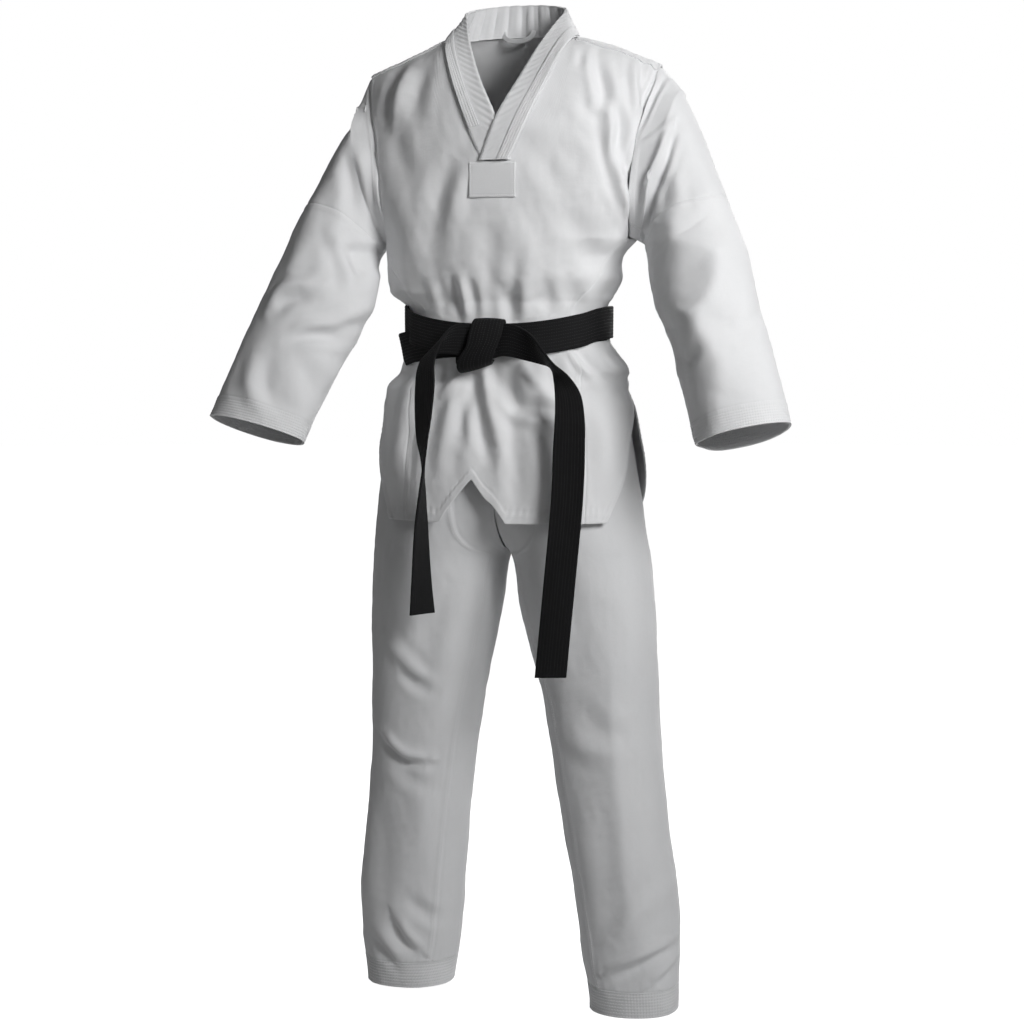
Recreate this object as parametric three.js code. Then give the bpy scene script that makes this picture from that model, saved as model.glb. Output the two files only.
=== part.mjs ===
// Martial arts uniform: V-neck pullover jacket, trousers and a black belt, as they hang on a wearer.
// Millimetres, +Z up, the front faces -Y and the wearer's left is +X. Heights below are above the floor;
// the whole group is lowered by MOUNT_Z at the end, so that the origin is the middle of the neck base.
import * as THREE from 'three';

// ---------- driving dimensions ----------
const MOUNT_Z = 1355;            // neck base above the floor
const CLOTH = 2;                 // one cloth wall
const SEAM = 0.3;                // half a gap between two sewn panels
const BELT_WIDTH = 45;
const BELT_THICK = 3.5;
const CHEST_Z = 1150;            // above this the body rounds in to the shoulder ridge
const ARMPIT_Z = 1085;
const SPLIT_Z = 955;             // body and skirt panels meet behind the belt
const HEM_Z = 695;               // skirt hem
const CROTCH_Z = 644;
const WAIST_Z = 934;             // trouser panels end, waistband begins
const LEG_BAND = 36;             // stitched band at a trouser hem
const CUFF_BAND = 28;            // stitched band at a sleeve end
const SECTION = 2.4;             // superellipse power of the body
const CAP = 2.6;                 // superellipse power of the shoulder rounding
const HEM_HALF = 127;            // half the front hem's width
const NOTCH = { left: -60, apex: -16, right: 15, height: 60 };   // inverted V in the front hem, across from its middle
const PATCH = { x0: -35, x1: 30, z0: 1138, z1: 1185, thick: 1.8 };
const SIDES = [['left', 1], ['right', -1]];            // the wearer's left is +X

// z, then the values that belong to that height
const CENTRE = [[0, 18], [285, 9.5], [570, 1], [745, -4], [995, -5], [1060, 0], [1150, 5], [1420, 5]];
//               z    half width  front  back
const JACKET = [
  [690, 200, 128, 122], [745, 197, 124, 120], [800, 189, 119, 117], [850, 178, 112, 112], [876, 164, 105, 104],
  [898, 144, 99, 96], [996, 144, 98, 93], [1012, 158, 104, 97], [1032, 169, 112, 102], [1060, 173, 117, 104],
  [1085, 176, 119, 104], [1150, 215, 120, 104], [1420, 215, 120, 104]];
//               z    outer  inner  front back
const TROUSERS = [
  [0, 230, 108, 58, 60], [40, 232, 104, 62, 64], [90, 236, 95, 66, 68], [130, 236, 90, 67, 69],
  [285, 218, 72, 72, 76], [430, 209, 48, 80, 84], [570, 203, 16, 92, 96], [640, 198, 4, 100, 104],
  [662, 196, -12, 101, 103], [700, 192, -60, 104, 105], [745, 188, -115, 106, 106], [800, 180, -162, 105, 105],
  [850, 168, -168, 101, 102], [876, 154, -154, 96, 97], [900, 137, -137, 92, 88], [980, 137, -137, 91, 86]];
const LEG_SHIFT_Y = { left: -50, right: 5 };           // one foot stands a little ahead
const LEG_START = { left: 10, right: 16 };             // lower edge of each trouser hem above the floor
//               z    seam angle from the front centre, vent edge angle
const SIDE_SEAM = [[690, 36], [864, 41], [955, 41], [990, 45], [1034, 61], [1081, 75]];
const VENT = [[690, 47], [745, 61], [793, 73], [862, 89], [900, 89.6]];
const BACK_VENT = [[690, 126], [745, 108], [793, 98], [862, 91.5], [900, 90.4]];
const ARMHOLE = [[ARMPIT_Z, 171], [1110, 174], [1150, 177], [1213, 184], [1257, 195], [1300, 204], [1420, 206]];
//               outer x, z   inner x, z   mid y  half depth  forward tilt in degrees
const SLEEVE = [
  [236, 1281, 184, 1075, -6, 74, 3], [268, 1212, 187, 1063, -22, 71, 9], [302, 1134, 189, 1050, -44, 67, 15],
  [323, 1080, 190, 1030, -62, 63, 19], [343, 1027, 193, 985, -87, 61, 21], [361, 972, 220, 930, -110, 58, 21],
  [379, 916, 243, 875, -131, 55, 21], [395, 864, 259, 829, -150, 52, 21], [402, 838, 267, 806, -159, 50, 21]];
const UPPER_RINGS = 3;           // body ring plus the first two stations make the upper sleeve
const GUSSET_TURN = 0.1;         // share of the sleeve ring, each way from the armpit, that is the gusset
const BELT_FRONT_Z = 945;
const INNER_WRAP_Z = { left: 966, right: 929, back: 958 };
const OUTER_WRAP_Z = { left: 969, right: 971, back: 968 };
// Belt ends and knot: x, y, z of the strip's middle, then its width direction.
const TAIL_LEFT = [
  [52, -125, 944, 0.62, -0.15, 0.77], [80, -133, 917, 0.75, -0.1, 0.65], [105, -141, 880, 0.96, 0, 0.28],
  [113, -146, 838, 1, 0, 0.03], [113, -150, 785, 1, 0, 0.02], [111, -153, 731, 1, 0.03, 0.05],
  [102, -156, 622, 1, 0, 0.08], [96, -157, 555, 1, -0.04, 0.08], [90, -158, 490, 1, -0.05, 0.08]];
const TAIL_RIGHT = [
  [-50, -122, 954, -0.66, -0.1, 0.74], [-68, -129, 938, -0.8, -0.3, 0.5], [-85, -137, 905, -0.72, 0.69, 0],
  [-91, -143, 836, -0.53, 0.85, 0], [-92, -146, 762, -0.05, 1, 0], [-94, -147, 692, 0.33, 0.94, 0],
  [-95, -147, 640, 0.6, 0.8, 0], [-93, -147, 573, 0.8, 0.6, 0]];
const KNOT_BAND = [
  [-8, -101.8, 971.3, 1, 0, 0.06], [-8, -106.5, 973.2, 1, 0, 0.06], [-8, -112.2, 969, 1, 0, 0.06],
  [-8, -114.6, 952, 1, 0, 0.06], [-8, -114.4, 932, 1, 0, 0.06]];
const KNOT_LOBE_LEFT = [[-34, -112.4, 939, 0, 0, 1], [-45, -113, 938, 0.05, 0, 1], [-56, -114.5, 937, 0.1, 0, 1]];
const KNOT_LOBE_RIGHT = [[18, -112.4, 941, 0, 0, 1], [30, -113, 940, 0.05, 0, 1], [43, -114.5, 938, 0.1, 0, 1]];
const KNOT_FOLD = [
  [-42, -123, 912, 0.2, 0, 1], [-20, -124.5, 910, 0.1, 0, 1], [8, -124.5, 916, -0.1, 0, 1], [36, -122, 917, 0, 0, 1]];

// ---------- looks ----------
const cloth = (color) => new THREE.MeshStandardMaterial({ color, roughness: 0.92, metalness: 0 });
const canvas = () => cloth(0xe6e6ea);
const liningCanvas = () => cloth(0xd6d7dd);
const black = () => new THREE.MeshStandardMaterial({ color: 0x121214, roughness: 0.75, metalness: 0 });
const elasticWhite = () => cloth(0xdcdce0);

// ---------- small maths ----------
const rad = (degrees) => degrees * Math.PI / 180;
const lerp = (a, b, t) => a + (b - a) * t;
const clamp01 = (t) => Math.min(1, Math.max(0, t));
const smooth = (t) => { const c = clamp01(t); return c * c * (3 - 2 * c); };
const power = (value, p) => Math.sign(value) * Math.abs(value) ** p;

// Smooth, never overshooting value of a table at z (Fritsch-Carlson slopes).
function at(table, z, column = 1) {
  const n = table.length;
  if (z <= table[0][0]) return table[0][column];
  if (z >= table[n - 1][0]) return table[n - 1][column];
  let i = 0;
  while (z > table[i + 1][0]) i++;
  const slope = (k) => (table[k + 1][column] - table[k][column]) / (table[k + 1][0] - table[k][0]);
  const tangent = (k) => {
    if (k === 0) return slope(0);
    if (k === n - 1) return slope(n - 2);
    const a = slope(k - 1), b = slope(k);
    return a * b <= 0 ? 0 : 2 * a * b / (a + b);
  };
  const h = table[i + 1][0] - table[i][0], t = (z - table[i][0]) / h;
  return (1 + 2 * t) * (1 - t) ** 2 * table[i][column] + t * (1 - t) ** 2 * h * tangent(i)
    + t * t * (3 - 2 * t) * table[i + 1][column] + t * t * (t - 1) * h * tangent(i + 1);
}

// ---------- cloth solids from a surface ----------
// Normal of the surface P(u, v), worked out from the surface itself, so that neighbours agree on it.
function normalOf(P, u, v) {
  const e = 2e-3;
  const du = P(u + e, v).sub(P(u - e, v)), dv = P(u, v + e).sub(P(u, v - e));
  return du.cross(dv).normalize();
}

// A closed wall whose outer face is P pushed out by lift, and whose inner face lies thick behind it.
// us and vs are the stations; ring joins the last u station to the first.
// core(p) is a point inside the garment beside p, and says which way is out.
function wall(P, us, vs, { lift = 0, thick = CLOTH, ring = false, core = axisBeside } = {}) {
  const vertices = [], faces = [];
  const nu = us.length, nv = vs.length;
  const midU = us[nu >> 1], midV = vs[nv >> 1], middle = P(midU, midV);
  const facing = Math.sign(normalOf(P, midU, midV).dot(middle.clone().sub(core(middle))));
  for (const depth of [lift, lift - thick]) {
    for (const u of us) {
      for (const v of vs) {
        const p = P(u, v).addScaledVector(normalOf(P, u, v), depth * facing);
        vertices.push(p.x, p.y, p.z);
      }
    }
  }
  const outer = (i, j) => (i % nu) * nv + j;
  const inner = (i, j) => nu * nv + outer(i, j);
  const quad = (a, b, c, d) => faces.push(a, b, c, a, c, d);
  const spans = ring ? nu : nu - 1;
  for (let i = 0; i < spans; i++) {
    for (let j = 0; j < nv - 1; j++) {
      quad(outer(i, j), outer(i + 1, j), outer(i + 1, j + 1), outer(i, j + 1));
      quad(inner(i, j), inner(i, j + 1), inner(i + 1, j + 1), inner(i + 1, j));
    }
    quad(outer(i, 0), inner(i, 0), inner(i + 1, 0), outer(i + 1, 0));
    quad(outer(i, nv - 1), outer(i + 1, nv - 1), inner(i + 1, nv - 1), inner(i, nv - 1));
  }
  if (!ring) {
    for (let j = 0; j < nv - 1; j++) {
      quad(outer(0, j), outer(0, j + 1), inner(0, j + 1), inner(0, j));
      quad(outer(nu - 1, j), inner(nu - 1, j), inner(nu - 1, j + 1), outer(nu - 1, j + 1));
    }
  }
  return solid(vertices, faces);
}

function axisBeside(p) {
  return new THREE.Vector3(0, 0, p.z);
}

// A flat strip of the given width and thickness through stations [x, y, z, width direction x, y, z].
function ribbon(rows, width, thick, perSpan = 2) {
  const path = new THREE.CatmullRomCurve3(rows.map((r) => new THREE.Vector3(r[0], r[1], r[2])));
  const turns = new THREE.CatmullRomCurve3(rows.map((r) => new THREE.Vector3(r[3], r[4], r[5])));
  const vertices = [], faces = [];
  const count = (rows.length - 1) * perSpan;
  for (let i = 0; i <= count; i++) {
    const t = i / count, along = path.getTangent(t);
    const across = turns.getPoint(t);
    across.addScaledVector(along, -across.dot(along)).normalize();
    const out = along.clone().cross(across);
    for (const [w, n] of [[-1, -1], [1, -1], [1, 1], [-1, 1]]) {
      const p = path.getPoint(t).addScaledVector(across, w * width / 2).addScaledVector(out, n * thick / 2);
      vertices.push(p.x, p.y, p.z);
    }
  }
  for (let i = 0; i < count; i++) {
    for (let k = 0; k < 4; k++) {
      const a = 4 * i + k, b = 4 * i + (k + 1) % 4;
      faces.push(a, b, b + 4, a, b + 4, a + 4);
    }
  }
  const last = 4 * count;
  faces.push(0, 3, 2, 0, 2, 1, last, last + 1, last + 2, last, last + 2, last + 3);
  return solid(vertices, faces);
}

// A geometry that faces out, whichever way its surface ran.
function solid(vertices, faces) {
  const corner = (k) => new THREE.Vector3(...vertices.slice(3 * k, 3 * k + 3));
  let volume = 0;
  for (let f = 0; f < faces.length; f += 3) {
    volume += corner(faces[f]).dot(corner(faces[f + 1]).cross(corner(faces[f + 2])));
  }
  if (volume < 0) {
    for (let f = 0; f < faces.length; f += 3) [faces[f + 1], faces[f + 2]] = [faces[f + 2], faces[f + 1]];
  }
  const geometry = new THREE.BufferGeometry();
  geometry.setAttribute('position', new THREE.Float32BufferAttribute(vertices, 3));
  geometry.setIndex(faces);
  geometry.computeVertexNormals();
  return geometry;
}

const stations = (from, to, count) => Array.from({ length: count + 1 }, (_, i) => lerp(from, to, i / count));
const ringStations = (count) => Array.from({ length: count }, (_, i) => i / count);

const uniform = new THREE.Group();
uniform.name = 'martial_arts_uniform';
const jacket = new THREE.Group(), belt = new THREE.Group(), trousers = new THREE.Group();
jacket.name = 'jacket_group';
belt.name = 'belt_group';
trousers.name = 'trousers_group';
uniform.add(jacket, belt, trousers);

function add(group, name, geometry, material) {
  const mesh = new THREE.Mesh(geometry, material);
  mesh.name = name;
  group.add(mesh);
}

// ---------- the body surface ----------
// Level section of the jacket below the chest, angle 0 at the front centre and 90 at the wearer's left.
function girth(table, angle, z) {
  const a = at(table, z, 1), c = Math.cos(rad(angle));
  const b = at(table, z, c > 0 ? 2 : 3);
  return new THREE.Vector3(at(CENTRE, z) + a * power(Math.sin(rad(angle)), 2 / SECTION), -b * power(c, 2 / SECTION), z);
}

// Height of the shoulder ridge over x, and the neck opening.
const ridge = (x) => 1362 - 0.4 * (Math.abs(x) - 92);
const frontNeckX = (z) => 18 + 74 * clamp01((z - 1188) / 174) ** 0.9;
const backNeckZ = (x) => 1362 + 10 * (1 - (x / 92) ** 2);

// Half depth of the body at x and z; face 2 is the front, 3 the back.
const thicknessAt = (x, z, face) =>
  at(JACKET, z, face) * (1 - Math.min(1, Math.abs(x) / at(JACKET, z, 1)) ** SECTION) ** (1 / SECTION);
function depth(x, z, face) {
  const up = clamp01((z - CHEST_Z) / (ridge(x) - CHEST_Z));
  return thicknessAt(x, z, face) * (1 - up ** CAP) ** (1 / CAP);
}

// Top of the panel column that meets the shoulder at x.
function columnTop(x, face) {
  const reach = Math.abs(x);
  if (reach >= 92) return ridge(x);
  if (face === 3) return backNeckZ(x) - 1.5;
  return (reach <= 18 ? 1188 : 1188 + 174 * ((reach - 18) / 74) ** (1 / 0.9)) - 1.5;
}

// Half width of a body panel: the side seam below the arm, the armhole above.
function panelEdge(z) {
  if (z >= ARMPIT_Z) return at(ARMHOLE, z);
  return at(JACKET, z, 1) * power(Math.sin(rad(at(SIDE_SEAM, z) - 0.12)), 2 / SECTION);
}

// Upper body panel: u runs across from the wearer's right, v from the split up to the chest (0.5) and the top (1).
const spread = (u) => Math.sin((2 * u - 1) * 1.25) / Math.sin(1.25);
const bodyPanel = (face) => (u, v) => {
  const s = spread(u), tip = ridge(s * 206), top = columnTop(s * 206, face);
  const last = Math.asin(clamp01((top - CHEST_Z) / (tip - CHEST_Z)) ** (CAP / 2));
  const z = v < 0.5
    ? lerp(SPLIT_Z + SEAM, CHEST_Z, v / 0.5)
    : CHEST_Z + (tip - CHEST_Z) * power(Math.sin(last * (v - 0.5) / 0.5), 2 / CAP);
  const x = s * panelEdge(z);
  const y = Math.max(thicknessAt(x, z, face) * (1 - clamp01((z - CHEST_Z) / (tip - CHEST_Z)) ** CAP) ** (1 / CAP), SEAM);
  return new THREE.Vector3(x + at(CENTRE, z), face === 2 ? -y : y, z);
};
const bodyUs = stations(0, 1, 16);
const BODY_Z = [SPLIT_Z + SEAM, 975, 996, 1012, 1034, 1058, ARMPIT_Z - 7];
const bodyVs = [...[...BODY_Z, 1112, CHEST_Z].map((z) => 0.5 * (z - BODY_Z[0]) / (CHEST_Z - BODY_Z[0])),
  ...stations(0.5, 0.9, 5).slice(1), 0.96, 1];
add(jacket, 'front_panel', wall(bodyPanel(2), bodyUs, bodyVs), canvas());
add(jacket, 'back_panel', wall(bodyPanel(3), bodyUs, bodyVs), canvas());

// A panel of the level-section part of the body, between two seam angles that change with height.
const sidePiece = (from, to, low, high) => (u, v) => {
  const z = lerp(low(u), high, v);
  return girth(JACKET, lerp(from(z), to(z), u), z);
};
const fixed = (value) => () => value;
for (const [side, s] of SIDES) {
  add(jacket, `side_panel_${side}`, wall(
    sidePiece((z) => s * (at(SIDE_SEAM, z) + 0.12),
      (z) => s * (179.88 - at(SIDE_SEAM, z)),
      fixed(BODY_Z[0]), BODY_Z[6]),
    stations(0, 1, 8), BODY_Z.map((z) => (z - BODY_Z[0]) / (BODY_Z[6] - BODY_Z[0]))), canvas());
  add(jacket, `skirt_side_${side}`, wall(
    sidePiece((z) => s * (at(SIDE_SEAM, z) + 0.12), (z) => s * at(VENT, z), fixed(HEM_Z), SPLIT_Z - SEAM),
    stations(0, 1, 4), stations(0, 1, 9)), canvas());
}
const notchedHem = (u) => {
  const x = lerp(-HEM_HALF, HEM_HALF, u), foot = x < NOTCH.apex ? NOTCH.left : NOTCH.right;
  return HEM_Z + NOTCH.height * Math.max(0, (x - foot) / (NOTCH.apex - foot));
};
add(jacket, 'skirt_front', wall(
  sidePiece((z) => -at(SIDE_SEAM, z) + 0.12, (z) => at(SIDE_SEAM, z) - 0.12, notchedHem, SPLIT_Z - SEAM),
  [-127, -94, -60, -38, -16, 0, 15, 50, 89, 127].map((x) => (x + HEM_HALF) / (2 * HEM_HALF)),
  stations(0, 1, 9)), canvas());
const backVent = (z) => at(BACK_VENT, z);
add(jacket, 'skirt_back', wall(
  sidePiece(backVent, (z) => 360 - backVent(z), fixed(HEM_Z), SPLIT_Z - SEAM),
  stations(0, 1, 14), stations(0, 1, 9)), canvas());

// Second layer over each shoulder, from the neck to the armhole, bent over the ridge.
for (const [side, s] of SIDES) {
  const yoke = (u, v) => {
    const x = s * lerp(97, 202, u), m = lerp(-0.38, 0.78, v);
    const z = CHEST_Z + (ridge(x) - CHEST_Z) * (1 - Math.abs(m) ** CAP) ** (1 / CAP);
    return new THREE.Vector3(x + at(CENTRE, 1300), m * thicknessAt(x, 1300, m < 0 ? 2 : 3), z);
  };
  add(jacket, `shoulder_yoke_${side}`, wall(yoke, stations(0, 1, 5), stations(0, 1, 14), {
    lift: 3.4, thick: 1.8, core: (p) => new THREE.Vector3(p.x, 0, 1100) }), canvas());
}

// ---------- sleeves ----------
// Armhole edge as a polyline from the shoulder tip to the armpit, for the front (2) or the back (3).
function armholeLine(face) {
  const line = stations(ridge(206), ARMPIT_Z, 24).map((z) => new THREE.Vector3(
    at(ARMHOLE, z), (face === 2 ? -1 : 1) * depth(at(ARMHOLE, z), z, face), z));
  const foot = line[line.length - 1];
  for (const t of [0.25, 0.5, 0.75, 1]) line.push(new THREE.Vector3(lerp(foot.x, 177, t), foot.y * (1 - t), foot.z - 1.5 * t));
  return line;
}
function alongLine(line, share) {
  const steps = line.slice(1).map((p, i) => p.distanceTo(line[i]));
  let left = clamp01(share) * steps.reduce((a, b) => a + b, 0);
  let i = 0;
  while (i < steps.length - 1 && left > steps[i]) left -= steps[i++];
  return line[i].clone().lerp(line[i + 1], Math.min(1, left / steps[i]));
}
const ARMHOLE_LINES = { 2: armholeLine(2), 3: armholeLine(3) };
const SLEEVE_ROWS = SLEEVE.map((row, k) => [k + 1, ...row]);

// Sleeve surface: turn 0 at the shoulder tip, 0.25 at the front; k is the station, 0 at the armhole.
function sleevePoint(turn, k) {
  const t = turn - Math.floor(turn), front = t < 0.5, share = 2 * Math.min(t, 1 - t);
  const r = (column) => at(SLEEVE_ROWS, Math.max(1, k), column);
  const outer = new THREE.Vector3(r(1), r(5), r(2)), inner = new THREE.Vector3(r(3), r(5), r(4));
  const tilt = rad(r(7)), angle = Math.PI * share;
  const forward = new THREE.Vector3(0, -Math.cos(tilt), Math.sin(tilt));
  const p = outer.clone().add(inner).multiplyScalar(0.5)
    .addScaledVector(outer.clone().sub(inner), 0.5 * Math.cos(angle))
    .addScaledVector(forward, (front ? 1 : -1) * r(6) * Math.sin(angle));
  if (k < 1) {
    const edge = alongLine(ARMHOLE_LINES[front ? 2 : 3], share);
    edge.x += 1.8;
    p.lerp(edge, 1 - k);
  }
  return p;
}
const sleeveCore = (k) => sleevePoint(0, k).add(sleevePoint(0.5, k)).multiplyScalar(0.5);
for (const [side, s] of SIDES) {
  const surface = (turn, k) => {
    const p = sleevePoint(turn, k);
    p.x = s * p.x + lerp(5, 10, smooth(k / 4));
    return p;
  };
  const core = (k) => () => { const c = sleeveCore(k); c.x *= s; return c; };
  const open = 0.5 + GUSSET_TURN;
  add(jacket, `sleeve_upper_${side}`, wall(surface, stations(open + 0.001, 1.5 - GUSSET_TURN - 0.001, 16),
    [0, 0.5, 1, 1.5, 2, 2.5, UPPER_RINGS - 0.005], { core: core(1.5) }), canvas());
  add(jacket, `underarm_gusset_${side}`, wall(surface, stations(0.5 - GUSSET_TURN + 0.001, open - 0.001, 4),
    [0, 1, 2, UPPER_RINGS - 0.005], { core: core(1) }), canvas());
  add(jacket, `sleeve_lower_${side}`, wall(surface, ringStations(20),
    [UPPER_RINGS + 0.005, 3.5, 4, 4.5, 5, 6, 7, 7.995], { ring: true, core: core(5) }), canvas());
  add(jacket, `sleeve_cuff_${side}`, wall(surface, ringStations(20), [8.01, 8.5, 9], { ring: true, lift: 0.6,
    thick: 3.2, core: core(8.5) }), canvas());
}

// ---------- collar ----------
// The neck seam and the free edge of the band, from the foot of the V (t = 0) to the top of the shoulder (t = 1).
const FREE_EDGE = new THREE.CatmullRomCurve3([
  [-22, -119.5, 1187], [0, -115, 1247], [25, -97, 1297], [50, -58, 1353], [71, 6, 1402]].map((p) => new THREE.Vector3(...p)));
function seamEdge(t) {
  const z = lerp(1188, 1362, t), x = frontNeckX(z);
  return new THREE.Vector3(x, -depth(x, z, 2), z);
}
const lapelSurface = (s, lift) => (t, w) => {
  const p = seamEdge(t).lerp(FREE_EDGE.getPoint(clamp01(t)), w);
  p.x = s * p.x + at(CENTRE, p.z);
  p.y -= lift(t) * (1 - 0.7 * t ** 4);
  return p;
};
const LAPEL_T = [0.004, 0.12, 0.24, 0.36, 0.48, 0.6, 0.72, 0.82, 0.9, 0.96, 0.997];
const lapelLift = { left: (t) => 3.6 + 3.8 * (1 - smooth((t - 0.3) / 0.3)), right: () => 3.6 };
const collarCore = (p) => new THREE.Vector3(0, 30, p.z - 20);
for (const [side, s] of SIDES) {
  const surface = lapelSurface(s, lapelLift[side]);
  add(jacket, `lapel_${side}`, wall(surface, LAPEL_T, stations(0, 1, 3), { thick: 2.4, core: collarCore }), canvas());
  add(jacket, `collar_trim_${side}`, wall(surface, LAPEL_T.slice(side === 'left' ? 0 : 2), [0.05, 0.38], {
    lift: 2.2, thick: 1.2, core: collarCore }), liningCanvas());
}
const neckBand = (u, w) => {
  const angle = Math.PI * u, x = 92 * Math.cos(angle);
  const low = new THREE.Vector3(x, depth(x, backNeckZ(x), 3), backNeckZ(x));
  const high = new THREE.Vector3(71 * Math.cos(angle), 6 + 56 * Math.sin(angle), 1402 + 14 * Math.sin(angle));
  const p = low.lerp(high, w);
  p.x += at(CENTRE, 1400);
  return p;
};
add(jacket, 'collar_back', wall(neckBand, [0.008, 0.04, 0.1, ...stations(0.18, 0.82, 10), 0.9, 0.96, 0.992],
  stations(0, 1, 3), { thick: 3, core: (p) => new THREE.Vector3(0, 10, p.z - 30) }), liningCanvas());

const loop = (u, v) => {
  const x = lerp(-24, 20, u), z = lerp(1356, 1367, v);
  return new THREE.Vector3(x + 5, depth(x, z, 3) - 4 - 5 * Math.sin(Math.PI * clamp01(u)), z);
};
add(jacket, 'hanger_loop', wall(loop, stations(0, 1, 6), [0, 1], { thick: 1.2 }), liningCanvas());

const patch = new THREE.BoxGeometry(PATCH.x1 - PATCH.x0, PATCH.thick, PATCH.z1 - PATCH.z0);
patch.translate((PATCH.x0 + PATCH.x1) / 2 + 3, -121.4 - PATCH.thick / 2, (PATCH.z0 + PATCH.z1) / 2);
add(jacket, 'v_patch', patch, liningCanvas());

// ---------- belt ----------
// Middle height of a wrap at a turn of the body.
function wrapZ(angle, heights) {
  const c = Math.cos(rad(angle)), s = Math.sin(rad(angle));
  return BELT_FRONT_Z * Math.max(c, 0) ** 2 + heights.back * Math.max(-c, 0) ** 2
    + heights.left * Math.max(s, 0) ** 2 + heights.right * Math.max(-s, 0) ** 2;
}
const wrapSurface = (heights) => (u, v) => {
  const p = girth(JACKET, 360 * u, 945);
  p.z = wrapZ(360 * u, heights) + (v - 0.5) * BELT_WIDTH;
  return p;
};
const wraps = [['belt_inner_wrap', INNER_WRAP_Z, 1.5], ['belt_outer_wrap', OUTER_WRAP_Z, 1.5 + BELT_THICK + 1]];
for (const [name, heights, gap] of wraps) {
  add(belt, name, wall(wrapSurface(heights), ringStations(32), [0, 1], {
    ring: true, lift: gap + BELT_THICK, thick: BELT_THICK }), black());
}
add(belt, 'knot_band', ribbon(KNOT_BAND, BELT_WIDTH, BELT_THICK), black());
add(belt, 'knot_lobe_left', ribbon(KNOT_LOBE_LEFT, 44, 4), black());
add(belt, 'knot_lobe_right', ribbon(KNOT_LOBE_RIGHT, 44, 4), black());
add(belt, 'knot_fold', ribbon(KNOT_FOLD, 26, 8), black());
add(belt, 'belt_tail_left', ribbon(TAIL_LEFT, BELT_WIDTH, BELT_THICK, 4), black());
add(belt, 'belt_tail_right', ribbon(TAIL_RIGHT, BELT_WIDTH, BELT_THICK, 5), black());

// ---------- trousers ----------
const LEG_SECTION = 2.2;
// Leg section at z: angle -90 at the inseam, 0 at the front, 90 at the outer side, 180 at the back.
function legPoint(side, s, angle, z) {
  const outer = at(TROUSERS, z, 1), inner = at(TROUSERS, z, 2), c = Math.cos(rad(angle));
  const half = (outer - inner) / 2, middle = (outer + inner) / 2;
  const y = LEG_SHIFT_Y[side] * clamp01((CROTCH_Z - z) / CROTCH_Z);
  return new THREE.Vector3(
    s * (middle + half * power(Math.sin(rad(angle)), 2 / LEG_SECTION)) + at(CENTRE, z),
    y - at(TROUSERS, z, c > 0 ? 3 : 4) * power(c, 2 / LEG_SECTION), z);
}
// The angle at which a leg section meets the middle of the body, or its inseam below the crotch.
function innerAngle(z) {
  const outer = at(TROUSERS, z, 1), inner = at(TROUSERS, z, 2), half = (outer - inner) / 2;
  const reach = ((outer + inner) / 2 - SEAM) / half;
  return reach >= 1 ? -89.9 : Math.max(-89.9, -Math.asin(power(reach, LEG_SECTION / 2)) * 180 / Math.PI);
}
const LEG_Z = [90, 130, 200, 285, 430, 570, 620, 645, 658, 680, 710, 745, 800, 850, 876, 900,
  WAIST_Z - SEAM];
for (const [side, s] of SIDES) {
  const start = LEG_START[side], heights = [start + LEG_BAND + SEAM, ...LEG_Z];
  const core = (p) => {
    const z = Math.min(p.z, 600), middle = (at(TROUSERS, z, 1) + at(TROUSERS, z, 2)) / 2;
    return new THREE.Vector3(s * middle, LEG_SHIFT_Y[side] * clamp01((CROTCH_Z - p.z) / CROTCH_Z), p.z);
  };
  const front = (u, z) => legPoint(side, s, lerp(innerAngle(z), 89.9, u), z);
  const back = (u, z) => legPoint(side, s, 180 - lerp(innerAngle(z), 89.9, u), z);
  const ring = (u, z) => legPoint(side, s, 360 * u, z);
  add(trousers, `leg_${side}_front`, wall(front, stations(0, 1, 7), heights, { core }), canvas());
  add(trousers, `leg_${side}_back`, wall(back, stations(0, 1, 7), heights, { core }), canvas());
  add(trousers, `leg_hem_${side}`, wall(ring, ringStations(20), [start, start + LEG_BAND / 2, start + LEG_BAND - SEAM], {
    ring: true, lift: 0.6, thick: 3.2, core }), canvas());
}
const waist = (u, z) => girth([[0, 137, 92, 88], [1000, 137, 91, 86]], 360 * u, z);
add(trousers, 'waistband', wall(waist, ringStations(28), [WAIST_Z + SEAM, 975], { ring: true, thick: 2.4 }), canvas());
add(trousers, 'waist_elastic', wall(waist, ringStations(28), [938, 971], { ring: true, lift: -3.4, thick: 1.2 }),
  elasticWhite());
// Reinforcement inside the crotch: a strip arched over the joined seams from one leg to the other.
const gusset = (u, v) => {
  const turn = Math.PI * u, z0 = CROTCH_Z - 40;
  return new THREE.Vector3(-24 * Math.cos(turn) - 2, lerp(-30, 30, v), z0 + 66 * Math.sin(turn));
};
add(trousers, 'crotch_gusset', wall(gusset, stations(0, 1, 8), stations(0, 1, 2), {
  thick: 1.6, core: () => new THREE.Vector3(1, 0, CROTCH_Z - 60) }), canvas());

uniform.traverse((mesh) => { if (mesh.isMesh) mesh.geometry.translate(0, 0, -MOUNT_Z); });

export default uniform;
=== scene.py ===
"""Looks of the martial arts uniform: jacket, trousers and black belt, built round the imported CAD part.

Surfaces are worked out in millimetres above the floor, as the CAD does, and lowered by MOUNT_Z at the end.
The front faces -Y and the wearer's left is +X.
"""

import math

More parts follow.
